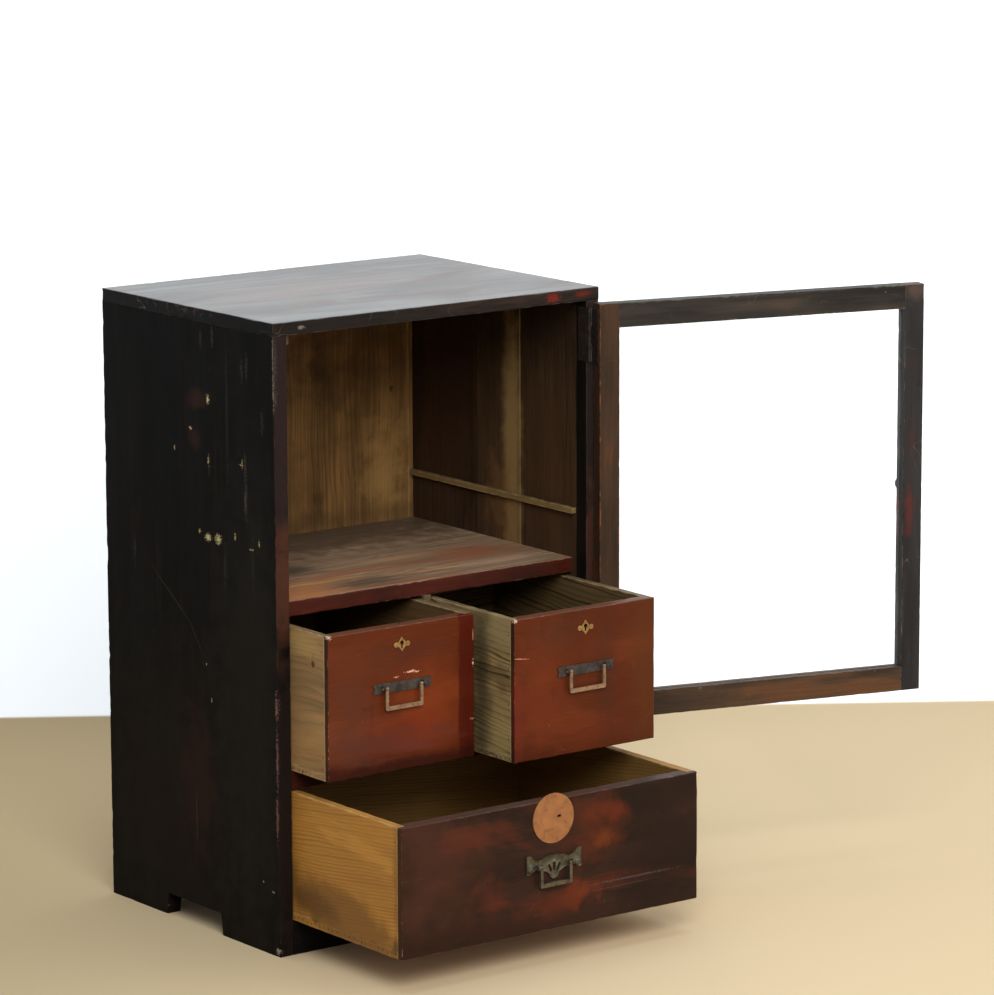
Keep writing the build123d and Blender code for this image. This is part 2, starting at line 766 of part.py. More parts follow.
def eyes(plan, bail_w, plate_t, pin_drop):
    """Two round-nosed eyes that stand on a handle plate, just outside the bail's arms."""
    pin_y = plan.front_y - plate_t - EYE_CLEAR
    pin_z = plan.z1 - pin_drop
    lugs = []
    for hand in (-1, 1):
        x = plan.mid_x + hand * (bail_w / 2 + EYE_GAP)
        lug = rod(EYE_R, (x, pin_y, pin_z), EYE_T, (hand, 0, 0))
        lug += block(x, x + hand * EYE_T, pin_y, plan.front_y - plate_t, pin_z - EYE_R, pin_z + EYE_R)
        lug -= rod(TRUNNION_R + TRUNNION_PLAY, (x, pin_y, pin_z), EYE_T, (hand, 0, 0))
        lugs.append(lug)
    return lugs


def trunnions(plan, bail_w, pin_y, pin_z):
    """The turned-out ends of a bail that lie in the eyes."""
    pins = []
    for hand in (-1, 1):
        x = plan.mid_x + hand * (bail_w / 2 - EYE_GAP)
        pins.append(rod(TRUNNION_R, (x, pin_y, pin_z), 2 * EYE_GAP + EYE_T + TRUNNION_END, (hand, 0, 0)))
    return pins


def bail(plan, plate_t, pin_drop, width, height, bar, foot, thick, corner, arch):
    """A bail that hangs from its trunnions: two arms and a foot bar, which may be arched above."""
    pin_y = plan.front_y - plate_t - EYE_CLEAR
    pin_z = plan.z1 - pin_drop
    plane = front_plane(plan.mid_x, pin_y + thick / 2, pin_z)
    outer = Pos(0, -height / 2) * Rectangle(width, height)
    outer = fillet(outer.vertices().group_by(Axis.Y)[0], corner)
    half = width / 2 - bar
    low = -height + foot
    window = make_face([
        ThreePointArc((-half, low), (0, low + arch), (half, low)) if arch else Line((-half, low), (half, low)),
        Line((half, low), (half, 0)),
        Line((half, 0), (-half, 0)),
        Line((-half, 0), (-half, low)),
    ])
    body = extrude(plane * (outer - window), thick)
    knuckle = max(thick / 2, TRUNNION_R) + EYE_GAP
    for hand in (-1, 1):
        x = plan.mid_x + hand * half
        body += rod(knuckle, (x, pin_y, pin_z), bar, (hand, 0, 0))
    for pin in trunnions(plan, width, pin_y, pin_z):
        body += pin
    return body


def small_strap(plan):
    """A flat iron strap with notched ends, and the two eyes of the bail."""
    z = plan.z1 - SMALL_PIN_DROP
    shape = Rectangle(STRAP_L, STRAP_H)
    for way in (-1, 1):
        reach = STRAP_L / 2 + STRAP_NOTCH_R / 2
        shape -= Pos(way * reach, 0) * Circle(STRAP_NOTCH_R)
    strap = extrude(front_plane(plan.mid_x, plan.front_y, z) * shape, STRAP_T)
    for lug in eyes(plan, SMALL_BAIL_W, STRAP_T, SMALL_PIN_DROP):
        strap += lug
    return strap


def small_bail(plan):
    """The flat rectangular bail of a small drawer."""
    return bail(
        plan, STRAP_T, SMALL_PIN_DROP, SMALL_BAIL_W, SMALL_BAIL_H, SMALL_BAIL_BAR,
        SMALL_BAIL_FOOT, SMALL_BAIL_T, SMALL_BAIL_CORNER, 0.0,
    )


def cast_plate_outline():
    """Half of the cast plate: arched crown, dip, swept-up ear, shoulder and hanging pendant.

    The crown's top is at zero height, and the other half is its mirror image.
    """
    dip = (PLATE_DIP_X, -PLATE_ARCH)
    ear_in = (PLATE_HALF_W - PLATE_EAR_W * PLATE_EAR_TURN, PLATE_EAR_RISE * PLATE_EAR_TURN)
    ear_tip = (PLATE_HALF_W, PLATE_EAR_RISE)
    ear_top = ((ear_in[0] + ear_tip[0]) / 2, (ear_in[1] + ear_tip[1]) / 2 + PLATE_EAR_BULGE)
    ear_foot = (PLATE_HALF_W, PLATE_EAR_RISE - PLATE_EAR_H)
    ear_back = (PLATE_HALF_W - PLATE_EAR_W, -PLATE_SHOULDER_DROP)
    pendant_side = (PLATE_PENDANT_R, -PLATE_PENDANT_DROP + PLATE_PENDANT_R)
    pendant_tip = (0, -PLATE_PENDANT_DROP)
    crown = TangentArc((0, 0), dip, tangent=(1, 0))
    return [
        crown,
        TangentArc(dip, ear_in, tangent=crown % 1),
        ThreePointArc(ear_in, ear_top, ear_tip),
        Line(ear_tip, ear_foot),
        TangentArc(ear_foot, ear_back, tangent=(-1, -0.2)),
        TangentArc(ear_back, pendant_side, tangent=(-1, 0)),
        TangentArc(pendant_tip, pendant_side, tangent=(1, 0)),
        Line(pendant_tip, (0, 0)),
    ]


def cast_plate(plan):
    """The pierced cast plate of the large handle, with its bosses and the two eyes of the bail."""
    crown_z = plan.z1 - LARGE_PIN_DROP + LARGE_PIN_BELOW_CROWN
    half = make_face(cast_plate_outline())
    shape = half + mirror(half, Plane.YZ)
    for way in (-1, 0, 1):
        slot = Rot(0, 0, 90) * SlotOverall(SLOT_L, 2 * SLOT_R)
        shape -= Pos(0, -SLOT_PIVOT_DROP) * Rot(0, 0, -way * SLOT_FAN) * Pos(0, SLOT_MID_R) * slot
    face = front_plane(plan.mid_x, plan.front_y, crown_z)
    plate = extrude(face * shape, PLATE_T)
    for hand in (-1, 1):
        x = plan.mid_x + hand * (PLATE_HALF_W - PLATE_EAR_W / 2)
        foot = front_plane(x, plan.front_y - PLATE_T, crown_z - BOSS_DROP)
        plate += flats(foot, BOSS_R, BOSS_R, BOSS_H - BOSS_EASE, BOSS_SIDES)
        plate += flats(foot.offset(BOSS_H - BOSS_EASE), BOSS_R, BOSS_R - BOSS_EASE, BOSS_EASE, BOSS_SIDES)
    for lug in eyes(plan, LARGE_BAIL_W, PLATE_T, LARGE_PIN_DROP):
        plate += lug
    return plate


def large_bail(plan):
    """The bail of the large drawer, with the foot bar arched on its upper edge."""
    return bail(
        plan, PLATE_T, LARGE_PIN_DROP, LARGE_BAIL_W, LARGE_BAIL_H, LARGE_BAIL_BAR,
        LARGE_BAIL_FOOT, LARGE_BAIL_T, LARGE_BAIL_CORNER, LARGE_BAIL_ARCH,
    )


# ---------------------------------------------------------------- assembly

def small_plan(name, hand, pulled):
    """The plan of a small drawer on one side of the divider."""
    wall, post = hand * INNER_X, hand * DIVIDER_T / 2
    return DrawerPlan(
        name=name, bay_x0=min(wall, post), bay_x1=max(wall, post),
        bay_z0=SMALL_BAY_Z0, bay_z1=SMALL_BAY_Z1, top_gap=SMALL_TOP_GAP,
        shut_y=SHELF_Y, pulled=pulled, front_t=SMALL_FRONT_T, lap=SMALL_LAP,
        side_t=SMALL_SIDE_T, bottom_t=SMALL_BOTTOM_T, key_x=0.0,
    )


def large_plan():
    """The plan of the large drawer, which shuts flush with the front."""
    return DrawerPlan(
        name="large_drawer", bay_x0=-INNER_X, bay_x1=INNER_X,
        bay_z0=LARGE_BAY_Z0, bay_z1=LARGE_BAY_Z1, top_gap=LARGE_TOP_GAP,
        shut_y=-LARGE_PROUD, pulled=LARGE_PULLED, front_t=LARGE_FRONT_T, lap=LARGE_LAP,
        side_t=LARGE_SIDE_T, bottom_t=LARGE_BOTTOM_T, key_x=DISC_KEY_X,
    )


def drawer_pieces(plan, fittings, turned_key):
    """The box of a drawer, its lock and the fittings on its front, by name."""
    pieces = {
        "front": drawer_front(plan, turned_key),
        "left_side": drawer_side(plan, -1),
        "right_side": drawer_side(plan, 1),
        "back": drawer_back(plan),
        "bottom": drawer_bottom(plan),
        "lock_case": lock_case(plan, turned_key),
        "lock_bolt": lock_bolt(plan),
        **fittings,
    }
    return {f"{plan.name}_{part}": piece for part, piece in pieces.items()}


def carcass_pieces(small_plans, large):
    """Everything that stands still, by name."""
    rail = middle_rail() - strike(large)
    shelf = display_shelf(small_plans)
    post = divider()
    dust = housed_board(MIDDLE_RAIL_T, SMALL_BAY_Z0 - DUST_T, SMALL_BAY_Z0)
    bottom = housed_board(BASE_RAIL_T, BACK_Z0, BASE_RAIL_H)
    base = base_rail()
    housed = [rail, shelf, dust, bottom, base]
    beds = [leaf_plate(z0, False) for z0 in HINGE_BOTTOMS]
    for z0 in HINGE_BOTTOMS:
        beds += screws_in_leaf(z0, False)
    pieces = {
        "left_side": side_panel(-1, housed),
        "right_side": side_panel(1, housed + beds),
        "top_board": top_board(),
        "base_rail": base,
        "bottom_board": bottom,
        "middle_rail": rail,
        "dust_board": dust - post,
        "drawer_runners": runners(),
        "display_shelf": shelf - post,
        "drawer_divider": post,
        "left_ledger": ledger(-1),
        "right_ledger": ledger(1),
        "door_stop": door_stop(),
        "lower_hinge_frame_leaf": hinge_leaf(HINGE_BOTTOMS[0], False),
        "upper_hinge_frame_leaf": hinge_leaf(HINGE_BOTTOMS[1], False),
        "hinge_pins": hinge_pins(),
        "hinge_screws_in_side": hinge_screws(False),
    }
    for place, board in zip(("left", "middle", "right"), back_boards()):
        pieces[f"back_board_{place}"] = board
    return pieces


def main():
    """Build every piece and write each one to its own file."""
    left = small_plan("left_drawer", -1, LEFT_PULLED)
    right = small_plan("right_drawer", 1, RIGHT_PULLED)
    large = large_plan()
    nodes = {**carcass_pieces((left, right), large), **door_pieces()}
    for plan in (left, right):
        fittings = {"escutcheon": escutcheon(plan), "strap": small_strap(plan), "bail": small_bail(plan)}
        nodes.update(drawer_pieces(plan, fittings, False))
    fittings = {
        "lock_plate": round_lock_plate(large),
        "handle_plate": cast_plate(large),
        "bail": large_bail(large),
    }
    nodes.update(drawer_pieces(large, fittings, True))
    for name, piece in nodes.items():
        export_step(piece, f"parts/{name}.step")


main()
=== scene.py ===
"""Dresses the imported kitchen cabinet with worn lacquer, bare wood, old metal and glass, in metres."""

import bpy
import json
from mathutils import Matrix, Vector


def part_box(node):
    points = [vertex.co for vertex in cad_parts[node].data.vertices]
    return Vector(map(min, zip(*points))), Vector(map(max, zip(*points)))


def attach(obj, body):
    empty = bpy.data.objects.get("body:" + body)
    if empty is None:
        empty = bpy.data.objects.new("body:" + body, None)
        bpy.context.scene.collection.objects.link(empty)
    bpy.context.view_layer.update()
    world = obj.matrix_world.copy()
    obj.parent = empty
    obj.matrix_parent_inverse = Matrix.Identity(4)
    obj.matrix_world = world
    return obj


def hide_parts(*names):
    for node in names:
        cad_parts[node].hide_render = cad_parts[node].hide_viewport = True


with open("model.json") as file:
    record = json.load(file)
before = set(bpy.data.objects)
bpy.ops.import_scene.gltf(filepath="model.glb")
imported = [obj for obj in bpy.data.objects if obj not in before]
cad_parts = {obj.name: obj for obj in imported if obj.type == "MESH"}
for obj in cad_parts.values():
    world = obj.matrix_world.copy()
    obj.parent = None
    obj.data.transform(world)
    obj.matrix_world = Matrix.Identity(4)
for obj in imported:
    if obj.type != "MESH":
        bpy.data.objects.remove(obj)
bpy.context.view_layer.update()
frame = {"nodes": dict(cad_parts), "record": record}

import functools
import json
import logging
import math
import random
import zlib
from dataclasses import dataclass, replace
from enum import Enum
from typing import Iterable, Iterator, Optional, Union

import bmesh
import bpy
from mathutils import Matrix, Vector, noise

log = logging.getLogger("cabinet")

Colour = tuple[float, float, float, float]
Triple = tuple[float, float, float]
Tone = tuple[int, int, int]  # a display colour, 0 to 255
Socket = bpy.types.NodeSocket
Value = Union[Socket, float, Triple, Colour]

BODY_OF = {node: body for body, nodes in frame["record"]["behaviour"]["bodies"].items() for node in nodes}
SLOT_OF = {part["node"]: part["material_slot"] for part in frame["record"]["subparts"]}

MERGE = 1e-6  # points nearer than this are one point
FLAT = math.radians(1.0)  # faces within this angle are one face
SHARP = math.radians(28.0)  # an edge above this angle is an arris
DOOR_OPEN = math.radians(165.0)
CREASE = math.radians(50.0)  # an edge above this angle is shaded sharp
STREAKY = 0.75  # marks more ragged than this are torn along the grain
SMALL_MARK = 0.008  # marks narrower than this have finely tattered outlines
INTO_FACE = 0.01  # how far a mark reaches into its face, unless it says otherwise
CHIP_DEPTH = 0.004
FAR = 9.0  # half sizes this large keep a piece free of wear at arrises
COAT_BACK = 0.0198  # how far in from the front the sides are coated inside

X, Y, Z = AXES = range(3)
LEFT: Triple = (-1.0, 0.0, 0.0)
RIGHT: Triple = (1.0, 0.0, 0.0)
FRONT: Triple = (0.0, -1.0, 0.0)
REAR: Triple = (0.0, 1.0, 0.0)
UP: Triple = (0.0, 0.0, 1.0)


def srgb(red: float, green: float, blue: float) -> Colour:
    """Turn a display colour into scene light.

    Args:
        red: 0 to 255.
        green: 0 to 255.
        blue: 0 to 255.

    Returns:
        The linear colour with full alpha.
    """
    def linear(channel: float) -> float:
        """One channel, made linear."""
        share = channel / 255.0
        return share / 12.92 if share <= 0.04045 else ((share + 0.055) / 1.055) ** 2.4

    return (linear(red), linear(green), linear(blue), 1.0)


# ---------------------------------------------------------------- materials

class Graph:
    """Builds the nodes of one material, a value at a time."""

    def __init__(self, name: str) -> None:
        """Start an empty material of that name."""
        self.material = bpy.data.materials.new(name)
        self.material.use_nodes = True
        self.nodes = self.material.node_tree.nodes
        self.links = self.material.node_tree.links
        self.nodes.clear()

    def add(
        self, kind: str, inputs: Optional[dict[Union[str, int], Value]] = None, **settings: object,
    ) -> bpy.types.Node:
        """Add a shader node.

        Args:
            kind: the node's type without its ShaderNode prefix.
            inputs: values or sockets for its inputs.
            settings: properties of the node itself.

        Returns:
            The new node.
        """
        node = self.nodes.new("ShaderNode" + kind)
        for key, setting in settings.items():
            setattr(node, key, setting)
        for key, value in (inputs or {}).items():
            self.feed(node.inputs[key], value)
        return node

    def feed(self, socket: Socket, value: Value) -> None:
        """Link a socket to a value, or set it to a number or colour."""
        if isinstance(value, bpy.types.NodeSocket):
            self.links.new(value, socket)
        else:
            socket.default_value = value

    def math(self, operation: str, first: Value, second: Value = 0.0, clamp: bool = False) -> Socket:
        """The result of one Math node."""
        return self.add("Math", {0: first, 1: second}, operation=operation, use_clamp=clamp).outputs[0]

    def times(self, first: Value, second: Value) -> Socket:
        """The product of two numbers."""
        return self.math("MULTIPLY", first, second)

    def plus(self, first: Value, second: Value) -> Socket:
        """The sum of two numbers."""
        return self.math("ADD", first, second)

    def minus(self, first: Value, second: Value) -> Socket:
        """The first number less the second."""
        return self.math("SUBTRACT", first, second)

    def vector(self, operation: str, first: Value, second: Value = (0.0, 0.0, 0.0)) -> Socket:
        """The vector result of one Vector Math node."""
        return self.add("VectorMath", {0: first, 1: second}, operation=operation).outputs["Vector"]

    def length(self, value: Value) -> Socket:
        """The length of a vector."""
        return self.add("VectorMath", {0: value}, operation="LENGTH").outputs["Value"]

    def split(self, value: Value) -> tuple[Socket, Socket, Socket]:
        """The three parts of a vector."""
        parts = self.add("SeparateXYZ", {0: value}).outputs
        return parts[0], parts[1], parts[2]

    def mix(self, share: Value, first: Value, second: Value, blend: str = "MIX") -> Socket:
        """Lay one colour over another by a share."""
        node = self.add("Mix", {0: share, 6: first, 7: second}, data_type="RGBA", blend_type=blend)
        return node.outputs[2]

    def smooth(self, value: Value, low: Value, high: Value, at_low: float = 0.0, at_high: float = 1.0) -> Socket:
        """Rise smoothly from at_low to at_high while a value goes from low to high."""
        inputs = {"Value": value, "From Min": low, "From Max": high, "To Min": at_low, "To Max": at_high}
        return self.add("MapRange", inputs, interpolation_type="SMOOTHSTEP").outputs["Result"]

    def noise(self, where: Value, stretch: Triple, detail: float = 2.0, bend: float = 0.0) -> Socket:
        """Cloudy noise that fills 0 to 1.

        Args:
            where: the coordinates it lies in.
            stretch: clouds in a metre, along each axis.
            detail: how many finer layers it has.
            bend: how far it is distorted.

        Returns:
            The noise, spread to 0 to 1.
        """
        scaled = self.vector("MULTIPLY", where, stretch)
        inputs = {"Vector": scaled, "Scale": 1.0, "Detail": detail, "Roughness": 0.55, "Distortion": bend}
        return self.smooth(self.add("TexNoise", inputs).outputs[0], 0.27, 0.73)

    def specks(self, where: Value, pitch: float, size: float, share: float) -> Socket:
        """Scattered round dots.

        Args:
            where: the coordinates they lie in.
            pitch: the distance between their cells, in metres.
            size: a dot's radius as a share of the pitch.
            share: how many cells have one.

        Returns:
            1 in a dot and 0 elsewhere.
        """
        cells = self.add("TexVoronoi", {"Vector": where, "Scale": 1.0 / pitch, "Randomness": 1.0})
        inside = self.smooth(cells.outputs["Distance"], size * 0.6, size, 1.0, 0.0)
        chosen = self.math("GREATER_THAN", self.split(cells.outputs["Color"])[0], 1.0 - share)
        return self.times(inside, chosen)

    @functools.cached_property
    def place(self) -> Socket:
        """The point in the cabinet's own frame."""
        return self.add("TexCoord").outputs["Object"]

    @functools.cached_property
    def normal(self) -> Socket:
        """The way the face points."""
        return self.add("NewGeometry").outputs["Normal"]

    @functools.cached_property
    def board(self) -> Socket:
        """Along, across and into the board, from its middle, shifted for each board."""
        return self.vector("ADD", self.attribute("board"), self.attribute("shift"))

    @functools.cached_property
    def arris(self) -> Socket:
        """How far the point lies from the board's nearest arris, in metres."""
        centred = self.vector("ABSOLUTE", self.attribute("board"))
        first, second, third = self.split(self.vector("SUBTRACT", self.attribute("half"), centred))
        low = self.math("MINIMUM", first, second)
        high = self.math("MAXIMUM", first, second)
        return self.math("MAXIMUM", low, self.math("MINIMUM", high, third))

    def away(self, at: Triple, reach: Triple, turn: Triple = (0.0, 0.0, 0.0)) -> Socket:
        """How far the point lies from a place, with 1 at the end of its reach, which can be turned by degrees."""
        rotation = tuple(math.radians(angle) for angle in turn)
        inputs = {"Vector": self.place, "Location": at, "Rotation": rotation, "Scale": reach}
        return self.length(self.add("Mapping", inputs, vector_type="TEXTURE").outputs[0])

    def attribute(self, name: str) -> Socket:
        """A vector that the piece's mesh carries."""
        return self.add("Attribute", attribute_name=name, attribute_type="GEOMETRY").outputs["Vector"]

    def facing(self, way: Triple) -> Socket:
        """1 on faces that point one way and 0 on the others."""
        node = self.add("VectorMath", {0: self.normal, 1: way}, operation="DOT_PRODUCT")
        return self.smooth(node.outputs["Value"], 0.45, 0.7)

    def shade(
        self, surface: "Surface", shine: Value, bump: float = 0.35, metallic: float = 0.0,
    ) -> bpy.types.Material:
        """Close the material with a Principled shader.

        Args:
            surface: its colour, roughness and height.
            shine: the specular level.
            bump: how strongly the height shows.
            metallic: 1 for metal.

        Returns:
            The finished material.
        """
        lump = self.add("Bump", {"Strength": bump, "Distance": 0.0005, "Height": surface.height})
        shader = self.add("BsdfPrincipled", {
            "Base Color": surface.colour, "Roughness": surface.rough, "Normal": lump.outputs[0],
            "Metallic": metallic, "Specular IOR Level": shine,
        })
        return self.close(shader)

    def close(self, shader: bpy.types.Node) -> bpy.types.Material:
        """End the material with a shader."""
        self.links.new(shader.outputs[0], self.add("OutputMaterial").inputs["Surface"])
        return self.material


@dataclass
class Surface:
    """What a finish gives the shader at each point."""

    colour: Socket
    rough: Socket
    height: Socket


@dataclass(frozen=True)
class Mark:
    """A patch, chip, stain or scratch at one place of the cabinet, or a patch of painted shade there."""

    at: Triple
    reach: Triple  # half its size along each axis
    tone: Tone
    cover: float = 1.0
    soft: float = 0.45  # how wide its outline fades, as a share of its reach
    ragged: float = 0.5
    turn: Triple = (0.0, 0.0, 0.0)  # degrees

    def laid(self, graph: Graph, colour: Socket, tatter: Socket) -> Socket:
        """Lay the mark over a colour.

        Args:
            graph: the material it is in.
            colour: the colour under it.
            tatter: noise that makes its outline ragged.

        Returns:
            The marked colour.
        """
        torn = graph.times(graph.minus(tatter, 0.5), 2.0 * self.ragged)
        away = graph.plus(graph.away(self.at, self.reach, self.turn), torn)
        inside = graph.smooth(away, 1.0 - self.soft, 1.0 + self.soft, self.cover, 0.0)
        return graph.mix(inside, colour, srgb(*self.tone))


def on_face(axis: int, at: float, rows: Iterable[tuple]) -> tuple[Mark, ...]:
    """Lay out the marks of one flat face.

    Args:
        axis: the axis that the face is square to.
        at: where the face lies along it.
        rows: each mark's two places and two reaches along the other axes, its tone, cover, softness and raggedness,
            then its reach into the face where that isn't INTO_FACE, and its turn where it has one.

    Returns:
        The marks in the same order.
    """
    marks = []
    for first, second, wide, high, tone, cover, soft, ragged, *rest in rows:
        place, reach = [first, second], [wide, high]
        place.insert(axis, at)
        reach.insert(axis, rest[0] if rest else INTO_FACE)
        marks.append(Mark(tuple(place), tuple(reach), tone, cover, soft, ragged, *rest[1:]))
    return tuple(marks)


def lay_marks(graph: Graph, colour: Socket, marks: Iterable[Mark]) -> Socket:
    """Lay marks over a colour: small ones have finely tattered outlines, large ones cloudy or streaky ones.

    Args:
        graph: the material they are in.
        colour: the colour under them.
        marks: the marks, the lowest first.

    Returns:
        The marked colour.
    """
    marks = tuple(marks)
    if not marks:
        return colour
    fine = graph.noise(graph.place, (420.0,) * 3)
    cloudy = graph.noise(graph.place, (38.0,) * 3, 3.0, 0.3)
    streaky = graph.noise(graph.board, (14.0, 120.0, 120.0), 4.0, 0.3)
    for mark in marks:
        small = sorted(mark.reach)[1] < SMALL_MARK
        colour = mark.laid(graph, colour, fine if small else streaky if mark.ragged > STREAKY else cloudy)
    return colour


@dataclass(frozen=True)
class Seam:
    """A glued joint between two boards of one panel, upright or nearly so."""

    at: float  # its Y on the floor
    lean: float  # how far Y changes with height
    tone: float  # how bright the wood behind it is, against 1 for the wood before it
    line: float = 0.5  # how dark the joint itself is

    def laid(self, graph: Graph, colour: Socket) -> Socket:
        """Darken a colour at the joint and behind it."""
        _, y, z = graph.split(graph.place)
        past = graph.minus(graph.minus(y, graph.times(z, self.lean)), self.at)
        behind = graph.smooth(past, -0.0003, 0.0003)
        grey = (self.tone, self.tone, self.tone, 1.0)
        colour = graph.mix(behind, colour, graph.mix(1.0, colour, grey, "MULTIPLY"))
        gap = graph.smooth(graph.math("ABSOLUTE", past), 0.0004, 0.0014, self.line, 0.0)
        return graph.mix(gap, colour, INK)


INK = srgb(10, 8, 8)


@dataclass(frozen=True)
class BareWood:
    """Planed softwood that was never coated: rings, fibres, knots, grime, worn arrises and painted shade on its inner
    face.
    """

    name: str
    early: Colour
    late: Colour
    ring: float = 0.005
    dark_share: float = 0.35  # how much of each ring is dark
    heart: tuple[float, float] = (0.02, 0.05)  # where the tree's heart lay: across and behind the board
    slope: float = 0.03
    wander: float = 0.004
    contrast: float = 0.7
    grime: Colour = srgb(60, 48, 34)
    grime_cover: float = 0.35
    worn: Colour = srgb(170, 140, 95)
    worn_reach: float = 0.0022
    worn_cover: float = 0.6
    inside: Optional[Triple] = None  # the way its inner face points, which is painted in shade
    # the tint multiplied into the inner face, as painted shade
    inside_tint: Colour = srgb(110, 100, 80)
    fibre: float = 0.28
    fibre_at: Triple = (16.0, 900.0, 900.0)  # fibres in a metre along, across and through the board
    tops: Optional[Colour] = None  # the tone of its handled upper edge
    tops_cover: float = 0.65
    rough: float = 0.62
    shine: float = 0.25
    knots: tuple[Mark, ...] = ()
    marks: tuple[Mark, ...] = ()
    seams: tuple[Seam, ...] = ()

    def surface(self, graph: Graph) -> Surface:
        """Work out the wood at each point.

        Args:
            graph: the material to build in.

        Returns:
            Its colour, roughness and height.
        """
        board = graph.board
        wander = graph.minus(graph.noise(board, (3.0, 16.0, 16.0), 3.0), 0.5)
        along, across, thick = graph.split(board)
        strayed = graph.times(wander, 2.0 * self.wander)
        side = graph.plus(graph.minus(across, self.heart[0]), strayed)
        deep = graph.plus(thick, self.heart[1])
        radius = graph.math("SQRT", graph.plus(graph.math("POWER", side, 2.0), graph.math("POWER", deep, 2.0)))
        radius = graph.plus(radius, graph.times(along, self.slope))
        for knot in self.knots:
            away = graph.away(knot.at, tuple(3.5 * reach for reach in knot.reach))
            radius = graph.plus(radius, graph.smooth(away, 0.0, 1.0, self.ring * 2.0, 0.0))
        rings = graph.math("DIVIDE", radius, self.ring)
        step = graph.math("FRACT", rings)
        rise = graph.smooth(step, 1.0 - self.dark_share * 1.6, 0.93)
        late = graph.times(rise, graph.smooth(step, 0.94, 1.0, 1.0, 0.0))
        each = graph.add("TexWhiteNoise", {"W": graph.math("FLOOR", rings)}, noise_dimensions="1D").outputs["Value"]
        late = graph.times(late, graph.plus(graph.times(each, 0.7), 0.3))
        fibre = graph.noise(board, self.fibre_at, 2.0)
        cloud = graph.noise(board, (4.0, 26.0, 26.0), 3.0, 0.4)
        colour = graph.mix(graph.times(late, self.contrast), self.early, self.late)
        colour = graph.mix(graph.times(fibre, self.fibre), colour, self.late)
        colour = graph.mix(graph.times(cloud, self.grime_cover), colour, self.grime)
        for seam in self.seams:
            colour = seam.laid(graph, colour)
        # painted shade: the inner face is darkened by the tint
        if self.inside is not None:
            shaded = graph.mix(1.0, colour, self.inside_tint, "MULTIPLY")
            colour = graph.mix(graph.facing(self.inside), colour, shaded)
        if self.tops is not None:
            handled = graph.times(graph.facing(UP), self.tops_cover)
            colour = graph.mix(handled, colour, self.tops)
        rubbed = graph.plus(graph.arris, graph.times(graph.noise(board, (60.0,) * 3), self.worn_reach))
        worn = graph.smooth(rubbed, self.worn_reach * 0.6, self.worn_reach * 1.3, self.worn_cover, 0.0)
        colour = graph.mix(worn, colour, self.worn)
        colour = lay_marks(graph, colour, (*self.knots, *self.marks))
        rough = graph.minus(self.rough, graph.times(late, 0.12))
        height = graph.minus(graph.times(late, 0.5), graph.times(fibre, 0.35))
        return Surface(colour, rough, height)

    def material(self) -> bpy.types.Material:
        """The wood as a material."""
        graph = Graph(self.name)
        return graph.shade(self.surface(graph), self.shine)


